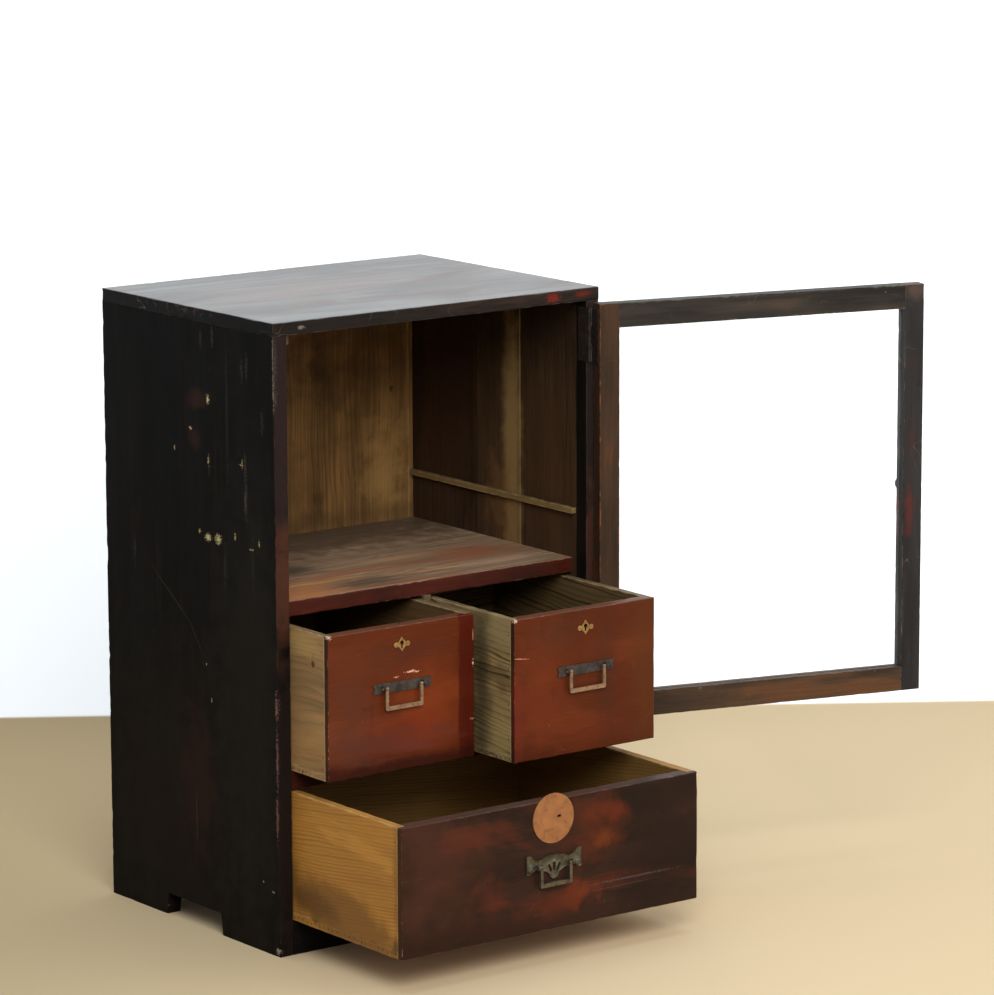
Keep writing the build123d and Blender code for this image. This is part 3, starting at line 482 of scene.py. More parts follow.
@dataclass(frozen=True)
class Lacquer:
    """An old coat of lacquer: streaks of the grain under it, rubbed patches, worn arrises, chips and hairlines."""

    name: str
    coat: Colour
    rubbed: Colour
    glow: Colour  # the undercoat where the coat is rubbed through
    glow_cover: float = 0.0
    bare: Colour = srgb(150, 120, 110)
    wear: float = 0.0018  # how far the wear reaches from an arris
    wear_cover: float = 0.8
    streak: float = 0.7
    streak_at: Triple = (2.4, 55.0, 55.0)  # streaks in a metre along, across and through the board
    fibre: float = 0.6
    hairline: float = 0.25
    fleck: float = 0.02
    fleck_colour: Colour = srgb(190, 175, 150)
    rough: float = 0.42
    shine: float = 0.35
    polish: Optional[float] = None  # the shine of its upper face, where that differs
    bump: float = 0.3
    faces: tuple[tuple[Triple, Colour, float], ...] = ()  # the way, tone and cover of faces that differ
    marks: tuple[Mark, ...] = ()
    seams: tuple[Seam, ...] = ()

    def surface(self, graph: Graph) -> Surface:
        """Work out the coat at each point.

        Args:
            graph: the material to build in.

        Returns:
            Its colour, roughness and height.
        """
        board = graph.board
        streak = graph.noise(board, self.streak_at, 4.0, 0.2)
        fibre = graph.noise(board, (14.0, 650.0, 650.0), 2.0)
        cloud = graph.noise(board, (5.0, 15.0, 15.0), 3.0, 0.6)
        colour = graph.mix(graph.times(streak, self.streak), self.coat, self.rubbed)
        thin = graph.times(cloud, graph.plus(graph.times(streak, 0.5), 0.5))
        if self.glow_cover > 0.0:
            edge = 1.0 - self.glow_cover
            through = graph.smooth(thin, edge * 0.8, min(1.0, edge * 0.8 + 0.3))
            colour = graph.mix(through, colour, self.glow)
        for seam in self.seams:
            colour = seam.laid(graph, colour)
        for way, tone, cover in self.faces:
            colour = graph.mix(graph.times(graph.facing(way), cover), colour, tone)
        dark = graph.mix(1.0, colour, srgb(175, 170, 170), "MULTIPLY")
        colour = graph.mix(graph.times(fibre, self.fibre), colour, dark)
        colour = lay_marks(graph, colour, self.marks)
        line = graph.noise(graph.vector("ADD", graph.place, (0.3, 0.1, 0.7)), (21.0, 17.0, 26.0), 1.0, 0.8)
        thread = graph.smooth(graph.math("ABSOLUTE", graph.minus(line, 0.5)), 0.0, 0.006, 1.0, 0.0)
        broken = graph.smooth(graph.noise(graph.place, (33.0,) * 3, 1.0), 0.55, 0.8)
        hair = graph.times(graph.times(thread, broken), self.hairline)
        colour = graph.mix(hair, colour, self.fleck_colour)
        tatter = graph.noise(board, (90.0, 160.0, 160.0), 3.0)
        patchy = graph.smooth(graph.noise(board, (11.0,) * 3, 2.0), 0.25, 0.7, 0.25, 1.0)
        rubbed = graph.plus(graph.arris, graph.times(tatter, self.wear))
        worn = graph.smooth(rubbed, self.wear * 0.55, self.wear * 0.95, self.wear_cover, 0.0)
        worn = graph.times(worn, patchy)
        colour = graph.mix(worn, colour, self.bare)
        dots = graph.specks(graph.place, 0.009, 0.07, self.fleck)
        colour = graph.mix(dots, colour, self.fleck_colour)
        rough = graph.plus(graph.times(thin, 0.12), self.rough)
        rough = graph.math("ADD", rough, graph.times(worn, 0.25), clamp=True)
        height = graph.minus(graph.times(fibre, 0.3), graph.times(worn, 1.0))
        height = graph.minus(height, graph.times(graph.plus(dots, hair), 0.6))
        return Surface(colour, rough, height)

    def material(self) -> bpy.types.Material:
        """The coat as a material."""
        graph = Graph(self.name)
        shine: Value = self.shine
        if self.polish is not None:
            shine = graph.smooth(graph.facing(UP), 0.0, 1.0, self.shine, self.polish)
        return graph.shade(self.surface(graph), shine, self.bump)


@dataclass(frozen=True)
class PartCoated:
    """A bare board whose outer faces, and a strip at its front, are lacquered."""

    name: str
    wood: BareWood
    coat: Lacquer
    ways: tuple[Triple, ...]
    strip: float = -1.0  # the coat also covers what lies in front of this Y
    shine: float = 0.3

    def material(self) -> bpy.types.Material:
        """The board as a material."""
        graph = Graph(self.name)
        wood = self.wood.surface(graph)
        coat = self.coat.surface(graph)
        _, y, _ = graph.split(graph.place)
        ragged = graph.times(graph.noise(graph.place, (60.0, 60.0, 30.0)), 0.0012)
        covered = graph.smooth(graph.plus(y, ragged), self.strip, self.strip + 0.0008, 1.0, 0.0)
        for way in self.ways:
            covered = graph.math("MAXIMUM", covered, graph.facing(way))
        colour = graph.mix(covered, wood.colour, coat.colour)
        rough = self.blended(graph, covered, wood.rough, coat.rough)
        height = self.blended(graph, covered, wood.height, coat.height)
        return graph.shade(Surface(colour, rough, height), self.shine)

    @staticmethod
    def blended(graph: Graph, share: Socket, first: Socket, second: Socket) -> Socket:
        """A number between two others."""
        return graph.add("Mix", {0: share, 2: first, 3: second}, data_type="FLOAT").outputs[0]


@dataclass(frozen=True)
class OldMetal:
    """Metal with patina in clouds, pits, and brighter brushed places."""

    name: str
    bright: Colour
    patina: Colour
    stain: Colour
    patina_cover: float = 0.5
    stain_cover: float = 0.3
    cloud: float = 90.0
    grain: Triple = (300.0, 300.0, 300.0)
    rough: float = 0.4
    metallic: float = 0.85
    bump: float = 0.3

    def material(self) -> bpy.types.Material:
        """The metal as a material."""
        graph = Graph(self.name)
        clouds = graph.noise(graph.place, (self.cloud,) * 3, 4.0, 0.4)
        brushed = graph.noise(graph.place, self.grain, 3.0)
        colour = graph.mix(graph.times(clouds, self.patina_cover), self.bright, self.patina)
        pits = graph.specks(graph.place, 0.0035, 0.22, self.stain_cover)
        blots = graph.smooth(graph.noise(graph.place, (self.cloud * 2.3,) * 3, 3.0, 1.0), 0.62, 0.85)
        colour = graph.mix(graph.times(blots, self.stain_cover), colour, self.stain)
        colour = graph.mix(graph.times(pits, 0.6), colour, self.stain)
        rough = graph.plus(graph.times(clouds, 0.25), self.rough)
        height = graph.minus(graph.times(brushed, 0.35), graph.plus(pits, blots))
        return graph.shade(Surface(colour, rough, height), 0.5, self.bump, self.metallic)


@dataclass(frozen=True)
class OldGlass:
    """Clear window glass with a faint cast and smears."""

    name: str
    cast: Colour
    clear: float = 0.07  # how much of what lies behind it stays hidden

    def material(self) -> bpy.types.Material:
        """The glass as a material."""
        graph = Graph(self.name)
        smear = graph.noise(graph.place, (9.0, 9.0, 16.0), 4.0, 0.5)
        wave = graph.noise(graph.place, (7.0, 7.0, 3.0), 1.0)
        lump = graph.add("Bump", {"Strength": 0.05, "Distance": 0.0005, "Height": wave})
        shader = graph.add("BsdfPrincipled", {
            "Base Color": self.cast, "Roughness": 0.05, "IOR": 1.45, "Normal": lump.outputs[0],
            "Alpha": graph.smooth(smear, 0.5, 1.0, self.clear, self.clear * 1.8),
        })
        return graph.close(shader)


Finish = Union[BareWood, Lacquer, PartCoated, OldMetal, OldGlass]


@functools.cache
def material_of(finish: Finish) -> bpy.types.Material:
    """The one material that a finish makes, however many pieces wear it."""
    return finish.material()


# ---------------------------------------------------------------- pieces

class Grain(Enum):
    """Which of the cabinet's axes a board's fibres follow."""

    ACROSS = 0
    DEEP = 1
    UPRIGHT = 2


def door_turn() -> Matrix:
    """The turn about the hinge pins that stands the shut door open."""
    low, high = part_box("hinge_pins")
    pin = Vector(((low.x + high.x) / 2, (low.y + high.y) / 2, 0.0))
    return Matrix.Translation(pin) @ Matrix.Rotation(DOOR_OPEN, 4, "Z") @ Matrix.Translation(-pin)


def mesh_of(geometry: bmesh.types.BMesh, name: str) -> bpy.types.Mesh:
    """Turn geometry into a named mesh, and free it."""
    mesh = bpy.data.meshes.new(name)
    geometry.to_mesh(mesh)
    geometry.free()
    return mesh


def placed(name: str, data: bpy.types.ID) -> bpy.types.Object:
    """Put an object with this data into the scene."""
    thing = bpy.data.objects.new(name, data)
    bpy.context.scene.collection.objects.link(thing)
    return thing


def only(kind: type, made: dict) -> list:
    """The items of one kind among those that a bmesh operator made."""
    return [item for item in made["geom"] if isinstance(item, kind)]


def whole(geometry: bmesh.types.BMesh) -> list:
    """Every point, edge and face of a mesh."""
    return [*geometry.verts, *geometry.edges, *geometry.faces]


def copy_of_node(node: str, turned: Optional[Matrix] = None, flat: bool = True) -> bmesh.types.BMesh:
    """Copy a frame node's mesh with its loose triangles joined to clean flat faces.

    Args:
        node: the node's name.
        turned: a turn to take back first, for a piece that stands open.
        flat: whether triangles in one plane become one face.

    Returns:
        The copy.
    """
    geometry = bmesh.new()
    geometry.from_mesh(frame["nodes"][node].data)
    if turned is not None:
        geometry.transform(turned.inverted())
    bmesh.ops.remove_doubles(geometry, verts=geometry.verts, dist=MERGE)
    if flat:
        bmesh.ops.dissolve_limit(geometry, angle_limit=FLAT, verts=geometry.verts, edges=geometry.edges)
    return geometry


def extent(verts: Iterable[bmesh.types.BMVert]) -> tuple[Vector, Vector]:
    """The lowest and the highest corner of the box round some points."""
    points = [vert.co.copy() for vert in verts]
    low, high = (Vector(pick(p[axis] for p in points) for axis in AXES) for pick in (min, max))
    return low, high


def board_layers(geometry: bmesh.types.BMesh) -> tuple:
    """The layers that hold each point's place in its board, the board's half sizes, and its shift in the pattern."""
    return tuple(geometry.verts.layers.float_vector.new(name) for name in ("board", "half", "shift"))


def ease_arrises(geometry: bmesh.types.BMesh, width: float, segments: int, shortest: float) -> None:
    """Round the sharp edges of a mesh.

    Args:
        geometry: the mesh.
        width: the bevel's width.
        segments: how many faces it has.
        shortest: shorter edges stay sharp.
    """
    edges = [
        edge for edge in geometry.edges
        if len(edge.link_faces) == 2 and edge.calc_face_angle(0.0) > SHARP and edge.calc_length() > shortest
    ]
    bmesh.ops.bevel(
        geometry, geom=edges, offset=width, offset_type="OFFSET", segments=segments, profile=0.5,
        affect="EDGES", clamp_overlap=True, material=-1,
    )


def finished(
    geometry: bmesh.types.BMesh, name: str, finish: Finish, body: str, slot: str,
    stands_for: Iterable[str] = (), rounded: float = 0.0,
) -> bpy.types.Object:
    """Make a piece of a mesh, dress it and put it on its body.

    Args:
        geometry: the mesh, freed here.
        name: the piece's name.
        finish: what it wears.
        body: the body that it moves with.
        slot: the record's slot of its finish, which is not used.
        stands_for: the frame's nodes that it replaces.
        rounded: faces smaller than this are shaded smooth.

    Returns:
        The piece.
    """
    bmesh.ops.recalc_face_normals(geometry, faces=geometry.faces)
    for face in geometry.faces:
        face.smooth = face.calc_area() < rounded
    for edge in geometry.edges:
        edge.smooth = edge.calc_face_angle(0.0) < CREASE
    mesh = mesh_of(geometry, name)
    piece = placed(name, mesh)
    mesh.materials.append(material_of(finish))
    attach(piece, body)
    if stands_for:
        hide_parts(*stands_for)
    log.info("%s on %s wears %s, %d faces", name, body, finish.name, len(mesh.polygons))
    return piece


@dataclass
class Board:
    """A worn board cut to a frame node's shape, with points along its arrises to take dents."""

    node: str
    grain: Grain
    finish: Finish
    ease: float = 0.0004
    bite: float = 0.0007  # the deepest dent
    pitch: float = 0.007  # between the points that take dents
    rim: float = 0.0035  # how wide the strip along an arris is that takes dents
    coarse: float = 90.0  # the large and the small dents in a metre
    fine: float = 260.0
    turned: Optional[Matrix] = None

    def build(self) -> bpy.types.Object:
        """Shape, wear and dress the board."""
        geometry = copy_of_node(self.node, self.turned)
        ease_arrises(geometry, self.ease, 2, 0.004)
        low, high = extent(geometry.verts)
        middle, half = (low + high) / 2, (high - low) / 2
        order = self.axes(half)
        self.slice(geometry, middle, half, order[0])
        self.dent(geometry, middle, half)
        self.note_grain(geometry, middle, half, order)
        if self.turned is not None:
            geometry.transform(self.turned)
        name = self.node + "_worn"
        return finished(geometry, name, self.finish, BODY_OF[self.node], SLOT_OF[self.node], [self.node])

    def axes(self, half: Vector) -> list[int]:
        """The axes along the grain, across it, and through the board."""
        along = self.grain.value
        return [along, *sorted((axis for axis in AXES if axis != along), key=lambda axis: -half[axis])]

    def slice(self, geometry: bmesh.types.BMesh, middle: Vector, half: Vector, along: int) -> None:
        """Cut the board's faces into strips, close together at its rims.

        Args:
            geometry: the board.
            middle: its middle.
            half: its half sizes.
            along: the axis of its grain.
        """
        rng = random.Random(zlib.crc32(self.node.encode()))
        for axis in AXES:
            size = half[axis]
            if size < 2.0 * self.rim:
                continue
            cuts = [-size + self.rim, size - self.rim]
            if axis == along or size > 0.05:
                pitch = self.pitch if axis == along else self.pitch * 2.0
                count = int(2.0 * (size - self.rim) / pitch)
                cuts += [
                    -size + self.rim + (step + rng.uniform(-0.3, 0.3)) * pitch for step in range(1, count)
                ]
            normal = Vector((0.0, 0.0, 0.0))
            normal[axis] = 1.0
            for cut in cuts:
                bmesh.ops.bisect_plane(
                    geometry, geom=whole(geometry), dist=MERGE, plane_co=middle + normal * cut, plane_no=normal,
                )

    def dent(self, geometry: bmesh.types.BMesh, middle: Vector, half: Vector) -> None:
        """Press dents into the arrises.

        Args:
            geometry: the board.
            middle: its middle.
            half: its half sizes.
        """
        shift = Vector(random.Random(self.node).uniform(-9.0, 9.0) for _ in AXES)
        reach = self.rim * 0.8
        for vert in geometry.verts:
            local = vert.co - middle
            room = [half[axis] - abs(local[axis]) for axis in AXES]
            nearest = sorted(AXES, key=room.__getitem__)[:2]
            inward = room[nearest[1]]
            if inward > reach:
                continue
            large, small = (noise.noise(vert.co * each + shift) for each in (self.coarse, self.fine))
            rough = large * 0.6 + small * 0.4
            depth = max(0.0, rough - 0.06) * 2.0 * self.bite * (1.0 - inward / reach)
            for axis in nearest:
                vert.co[axis] -= math.copysign(min(depth, half[axis] * 0.2), local[axis])

    def note_grain(self, geometry: bmesh.types.BMesh, middle: Vector, half: Vector, order: list[int]) -> None:
        """Give every point its place in the board, for the finish to follow.

        Args:
            geometry: the board.
            middle: its middle.
            half: its half sizes.
            order: the axes along, across and through the board.
        """
        rng = random.Random(self.node + "grain")
        shift = Vector((rng.uniform(-5.0, 5.0), 0.0, 0.0))
        place_layer, half_layer, shift_layer = board_layers(geometry)
        for vert in geometry.verts:
            local = vert.co - middle
            vert[place_layer] = Vector(local[axis] for axis in order)
            vert[half_layer] = Vector(half[axis] for axis in order)
            vert[shift_layer] = shift


@dataclass
class Fitting:
    """A metal piece cut to a frame node's shape, with eased edges."""

    node: str
    finish: OldMetal
    ease: float = 0.0003
    segments: int = 2
    shortest: float = 0.0008
    turned: Optional[Matrix] = None
    flat: bool = True

    def build(self) -> bpy.types.Object:
        """Shape and dress the fitting."""
        geometry = copy_of_node(self.node, self.turned, self.flat)
        self.shape(geometry)
        if self.turned is not None:
            geometry.transform(self.turned)
        name = self.node + "_metal"
        body, slot = BODY_OF[self.node], SLOT_OF[self.node]
        return finished(geometry, name, self.finish, body, slot, [self.node], rounded=4e-5)

    def shape(self, geometry: bmesh.types.BMesh) -> None:
        """Ease the edges."""
        ease_arrises(geometry, self.ease, self.segments, self.shortest)


@dataclass
class CastPlate(Fitting):
    """The pierced handle plate, whose face lies below a raised rim."""

    flat: bool = False
    rim: float = 0.0006
    sunk: float = 0.0005

    def shape(self, geometry: bmesh.types.BMesh) -> None:
        """Sink the face inside its rim."""
        levels: dict[float, list[bmesh.types.BMFace]] = {}
        for face in geometry.faces:
            if face.normal.y < -0.99:
                levels.setdefault(round(face.calc_center_median().y, 4), []).append(face)
        widest = max(levels.values(), key=lambda faces: sum(face.calc_area() for face in faces))
        bmesh.ops.inset_region(
            geometry, faces=widest, thickness=self.rim, depth=-self.sunk, use_boundary=True, use_even_offset=False,
        )


def islands(geometry: bmesh.types.BMesh) -> Iterator[list[bmesh.types.BMVert]]:
    """Yield the points of each loose part of a mesh."""
    left = set(geometry.verts)
    for start in geometry.verts:
        if start not in left:
            continue
        left.remove(start)
        part, reach = [], [start]
        while reach:
            vert = reach.pop()
            part.append(vert)
            for edge in vert.link_edges:
                other = edge.other_vert(vert)
                if other in left:
                    left.remove(other)
                    reach.append(other)
        yield part


@dataclass(frozen=True)
class SlottedScrew:
    """A countersunk wood screw with a slot in its head."""

    head_r: float = 0.0028
    shank_r: float = 0.0014
    head_h: float = 0.0014
    length: float = 0.0125
    slot_w: float = 0.0007
    slot_d: float = 0.0006
    sides: int = 20

    def build(self, place: Matrix) -> bmesh.types.BMesh:
        """Make one screw.

        Args:
            place: puts the head's top at the origin facing +Z where the screw belongs.

        Returns:
            Its mesh.
        """
        screw = bmesh.new()
        bmesh.ops.create_circle(screw, cap_ends=True, segments=self.sides, radius=self.head_r)
        for side in (-1.0, 1.0):
            bmesh.ops.bisect_plane(
                screw, geom=whole(screw), dist=MERGE,
                plane_co=(0.0, side * self.slot_w / 2, 0.0), plane_no=(0.0, 1.0, 0.0),
            )
        strip = [face for face in screw.faces if abs(face.calc_center_median().y) < self.slot_w / 2]
        sunk = bmesh.ops.extrude_face_region(screw, geom=strip)
        bmesh.ops.delete(screw, geom=strip, context="FACES")
        deep = only(bmesh.types.BMVert, sunk)
        bmesh.ops.translate(screw, verts=deep, vec=(0.0, 0.0, -self.slot_d))
        outline = [edge for edge in screw.edges if edge.is_boundary]
        for radius, depth in ((self.shank_r, self.head_h), (self.shank_r, self.length - self.head_h)):
            ring = bmesh.ops.extrude_edge_only(screw, edges=outline)
            outline = only(bmesh.types.BMEdge, ring)
            for vert in only(bmesh.types.BMVert, ring):
                flat = Vector((vert.co.x, vert.co.y, 0.0))
                if flat.length > radius:
                    flat.length = radius
                vert.co = Vector((flat.x, flat.y, vert.co.z - depth))
        bmesh.ops.contextual_create(screw, geom=outline)
        screw.transform(place @ Matrix.Rotation(random.Random(str(place)).uniform(0.0, math.pi), 4, "Z"))
        return screw


def gathered(parts: Iterable[bmesh.types.BMesh]) -> bmesh.types.BMesh:
    """Put several meshes into one and free them."""
    together = bmesh.new()
    for part in parts:
        mesh = mesh_of(part, "part")
        together.from_mesh(mesh)
        bpy.data.meshes.remove(mesh)
    return together


def tack(at: Vector, way: Vector, radius: float, tall: float = 1.0) -> bmesh.types.BMesh:
    """Make one low domed nail head.

    Args:
        at: where it sits.
        way: the way it faces.
        radius: its radius.
        tall: how much taller than wide it is.

    Returns:
        Its mesh.
    """
    head = bmesh.new()
    bmesh.ops.create_cone(
        head, cap_ends=True, segments=10, radius1=radius, radius2=radius * 0.55, depth=radius * 0.5,
    )
    turn = Vector(UP).rotation_difference(way).to_matrix().to_4x4()
    head.transform(Matrix.Translation(at) @ turn @ Matrix.Diagonal((tall, 1.0, 1.0, 1.0)))
    return head


# ---------------------------------------------------------------- finishes of this cabinet

PALE_CHIP: Tone = (176, 156, 112)
BRIGHT_CHIP: Tone = (206, 196, 148)
PINK_CHIP: Tone = (214, 140, 118)
DUST: Tone = (150, 138, 122)
SCORED: Tone = (84, 74, 66)
RUST: Tone = (58, 33, 26)
WORN_PINK: Tone = (128, 92, 86)
RUBBED_GREY: Tone = (52, 51, 48)
SIDE_STREAKS = (  # Y, Z, half height and cover of the pale rubbed streaks on the left side
    (0.0597, 0.550, 0.026, 0.8), (0.0611, 0.586, 0.012, 0.8), (0.066, 0.697, 0.009, 0.7), (0.0562, 0.702, 0.012, 0.5),
    (0.127, 0.730, 0.011, 0.7), (0.152, 0.724, 0.008, 0.6), (0.106, 0.455, 0.022, 0.45), (0.0246, 0.641, 0.012, 0.6),
    (0.3025, 0.447, 0.014, 0.5), (0.137, 0.575, 0.010, 0.6), (0.098, 0.640, 0.060, 0.35), (0.047, 0.470, 0.030, 0.3),
)
SIDE_CHIPS = (  # Y, Z, half width, half height, tone and cover of the chips on the left side
    (0.138, 0.653, 0.0022, 0.0038, BRIGHT_CHIP, 0.85), (0.176, 0.6135, 0.0022, 0.0014, PALE_CHIP, 0.85),
    (0.2116, 0.5845, 0.001, 0.002, PALE_CHIP, 0.85), (0.1388, 0.580, 0.0010, 0.0045, PALE_CHIP, 0.85),
    (0.067, 0.584, 0.0040, 0.0008, PALE_CHIP, 0.85), (0.067, 0.584, 0.0008, 0.0048, PALE_CHIP, 0.85),
    (0.062, 0.5416, 0.0012, 0.008, (88, 72, 84), 0.7), (0.1588, 0.4911, 0.0015, 0.0022, PALE_CHIP, 0.85),
    (0.141, 0.4865, 0.0046, 0.0032, BRIGHT_CHIP, 0.85), (0.1197, 0.4873, 0.0052, 0.0042, BRIGHT_CHIP, 0.85),
    (0.0837, 0.4952, 0.0012, 0.0032, PALE_CHIP, 0.85), (0.0505, 0.4859, 0.0034, 0.0010, PALE_CHIP, 0.85),
    (0.0338, 0.4944, 0.0010, 0.0032, PALE_CHIP, 0.85), (0.149, 0.330, 0.001, 0.001, DUST, 0.85),
    (0.139, 0.288, 0.0008, 0.002, DUST, 0.85), (0.0337, 0.0865, 0.0014, 0.0012, DUST, 0.85),
    (0.013, 0.0774, 0.002, 0.001, DUST, 0.85), (0.234, 0.012, 0.005, 0.003, (170, 150, 130), 0.85),
    (0.0008, 0.712, 0.0012, 0.030, (128, 118, 112), 0.8), (0.0008, 0.672, 0.0010, 0.012, DUST, 0.8),
    (0.002, 0.304, 0.002, 0.014, WORN_PINK, 0.8), (0.002, 0.242, 0.0016, 0.024, WORN_PINK, 0.7),
    (0.003, 0.171, 0.0018, 0.022, WORN_PINK, 0.6), (0.004, 0.007, 0.003, 0.003, DUST, 0.85),
)


def side_chips(x: float) -> tuple[Mark, ...]:
    """The chips, stains and scratches of the left side, which lies at x."""
    return on_face(X, x, (
        (0.055, 0.28, 0.07, 0.26, (31, 28, 24), 0.7, 0.7, 0.3, 0.02),
        (0.24, 0.14, 0.14, 0.17, (29, 23, 18), 0.7, 0.8, 0.3, 0.02),
        *((y, z, 0.0022, tall, RUBBED_GREY, cover, 0.6, 0.9, CHIP_DEPTH) for y, z, tall, cover in SIDE_STREAKS),
        (0.17, 0.186, 0.035, 0.07, (42, 26, 21), 0.7, 0.8, 0.4, 0.02),
        (0.156, 0.652, 0.020, 0.010, RUST, 0.5, 0.8, 0.6),
        (0.170, 0.603, 0.010, 0.012, RUST, 0.4, 0.8, 0.6),
        (0.224, 0.404, 0.048, 0.0005, SCORED, 0.45, 0.5, 0.4, CHIP_DEPTH, (34.0, 0.0, 0.0)),
        (0.172, 0.361, 0.021, 0.0005, SCORED, 0.45, 0.5, 0.4, CHIP_DEPTH, (51.0, 0.0, 0.0)),
        (0.175, 0.137, 0.0006, 0.031, SCORED, 0.5, 0.5, 0.5, CHIP_DEPTH),
        *((*chip, 0.4, 0.9, CHIP_DEPTH) for chip in SIDE_CHIPS),
    ))


def front_edge_tones(x: float) -> tuple[Mark, ...]:
    """The purple, red and dark stretches down the front edge of the side that lies about x."""
    return on_face(Y, 0.0, (
        (x, 0.64, 0.03, 0.17, (43, 32, 31), 0.85, 0.4, 0.2, 0.0009),
        (x, 0.44, 0.03, 0.07, (74, 44, 33), 0.85, 0.5, 0.4, 0.0009),
        (x, 0.18, 0.03, 0.20, (34, 25, 22), 0.7, 0.4, 0.3, 0.0009),
    ))


CASE = Lacquer(
    "case_black", coat=srgb(8, 8, 8), rubbed=srgb(21, 18, 17), glow=srgb(27, 20, 16), glow_cover=0.3,
    bare=srgb(62, 45, 41), wear=0.0014, wear_cover=0.7, streak=0.8, hairline=0.10, fleck=0.012,
    fleck_colour=srgb(96, 82, 70), rough=0.5, shine=0.07, bump=0.35,
)
TOP = Lacquer(
    "top_grey_brown", coat=srgb(70, 68, 66), rubbed=srgb(122, 119, 116), glow=srgb(112, 90, 80), glow_cover=0.36,
    bare=srgb(96, 84, 78), wear=0.0014, wear_cover=0.5, streak=0.9, hairline=0.25, fleck=0.03,
    rough=0.33, shine=0.05, polish=0.6, bump=0.35,
    faces=((LEFT, srgb(12, 11, 11), 1.0), (FRONT, srgb(34, 28, 26), 0.95)),
    marks=(
        Mark((0.15, 0.12, 0.76), (0.16, 0.16, 0.01), (64, 46, 40), 0.5, 0.8, 0.9),
        Mark((-0.06, 0.20, 0.76), (0.12, 0.05, 0.01), (108, 80, 70), 0.5, 0.8, 0.9),
        Mark((-0.2, 0.0, 0.752), (0.004, 0.003, 0.002), (130, 120, 112), 0.7),
        Mark((0.17, 0.0, 0.752), (0.009, 0.003, 0.005), (116, 38, 28), 0.8),
        Mark((0.215, 0.0, 0.753), (0.010, 0.003, 0.003), (106, 38, 28), 0.8),
    ),
)
DRAWER_RED = Lacquer(
    "drawer_red", coat=srgb(92, 39, 15), rubbed=srgb(108, 47, 20), glow=srgb(118, 54, 24), glow_cover=0.28,
    bare=srgb(168, 122, 98), wear=0.0011, wear_cover=0.7, streak=0.85, streak_at=(7.0, 17.0, 17.0), fibre=0.25,
    hairline=0.14, fleck=0.02, fleck_colour=srgb(196, 134, 108), rough=0.42, shine=0.10,
    faces=((LEFT, srgb(46, 33, 25), 0.95), (UP, srgb(112, 82, 64), 0.5)),
)
LEFT_RED = replace(DRAWER_RED, name="left_drawer_red", marks=on_face(Y, -0.074, (
    (-0.19, 0.28, 0.03, 0.08, (88, 50, 34), 0.5, 0.8, 0.35),
    (-0.07, 0.30, 0.04, 0.05, (134, 58, 24), 0.5, 0.8, 0.35),
    (-0.15, 0.36, 0.03, 0.02, (86, 44, 26), 0.45, 0.8, 0.35),
    (-0.11, 0.27, 0.04, 0.02, (122, 40, 20), 0.4, 0.8, 0.35),
    (-0.217, 0.398, 0.0025, 0.0022, (206, 178, 158), 0.85, 0.4, 0.8),
    (-0.0185, 0.31, 0.0115, 0.5, (76, 20, 10), 0.85, 0.16, 0.10),
    (-0.11, 0.222, 0.5, 0.018, (48, 17, 10), 0.85, 0.5, 0.2),
    (-0.15, 0.262, 0.05, 0.016, (92, 50, 40), 0.6, 0.8, 0.9),
    (-0.07, 0.258, 0.03, 0.010, (104, 50, 38), 0.55, 0.8, 0.9),
    (-0.10, 0.365, 0.05, 0.012, (76, 38, 26), 0.5, 0.8, 0.7),
    (-0.160, 0.305, 0.010, 0.0028, (66, 34, 26), 0.45, 0.8, 0.6),
    (-0.157, 0.300, 0.0024, 0.011, (66, 34, 26), 0.4, 0.8, 0.6),
    (-0.121, 0.3380, 0.0030, 0.0009, PINK_CHIP, 0.9, 0.4, 0.8, CHIP_DEPTH),
    (-0.100, 0.3420, 0.0060, 0.0010, (228, 178, 160), 0.9, 0.4, 0.9, CHIP_DEPTH),
    (-0.092, 0.3405, 0.0040, 0.0008, (228, 178, 160), 0.8, 0.4, 0.9, CHIP_DEPTH),
    (-0.0085, 0.34, 0.0010, 0.0035, (226, 186, 170), 0.85, 0.4, 0.8, CHIP_DEPTH),
    (-0.0100, 0.272, 0.0024, 0.0009, PINK_CHIP, 0.85, 0.4, 0.8, CHIP_DEPTH),
    (-0.0085, 0.374, 0.0010, 0.005, PINK_CHIP, 0.6, 0.4, 0.8, CHIP_DEPTH),
)))
RIGHT_RED = replace(DRAWER_RED, name="right_drawer_red", coat=srgb(80, 34, 13), rubbed=srgb(98, 43, 18),
                    glow=srgb(104, 47, 20), marks=on_face(Y, -0.1345, (
    (0.205, 0.31, 0.020, 0.10, (90, 48, 20), 0.6, 0.8, 0.3),
    (0.05, 0.32, 0.035, 0.06, (118, 50, 21), 0.45, 0.8, 0.35),
    (0.145, 0.31, 0.016, 0.08, (72, 36, 20), 0.5, 0.8, 0.35),
    (0.07, 0.372, 0.03, 0.02, (80, 44, 24), 0.5, 0.8, 0.35),
    (0.10, 0.25, 0.05, 0.02, (112, 46, 20), 0.4, 0.8, 0.35),
    (0.013, 0.27, 0.008, 0.06, (112, 38, 27), 0.5, 0.8, 0.3),
    (0.009, 0.398, 0.0025, 0.0022, (206, 178, 158), 0.85, 0.4, 0.8),
    (0.017, 0.351, 0.009, 0.0005, PINK_CHIP, 0.85, 0.4, 0.5, CHIP_DEPTH, (0.0, 7.6, 0.0)),
    (0.0645, 0.304, 0.004, 0.004, (74, 28, 20), 0.35, 0.7, 0.6, CHIP_DEPTH),
)))
RAIL_RED = replace(DRAWER_RED, name="rail_red", coat=srgb(46, 20, 13), rubbed=srgb(66, 28, 17), glow_cover=0.12,
                   faces=())
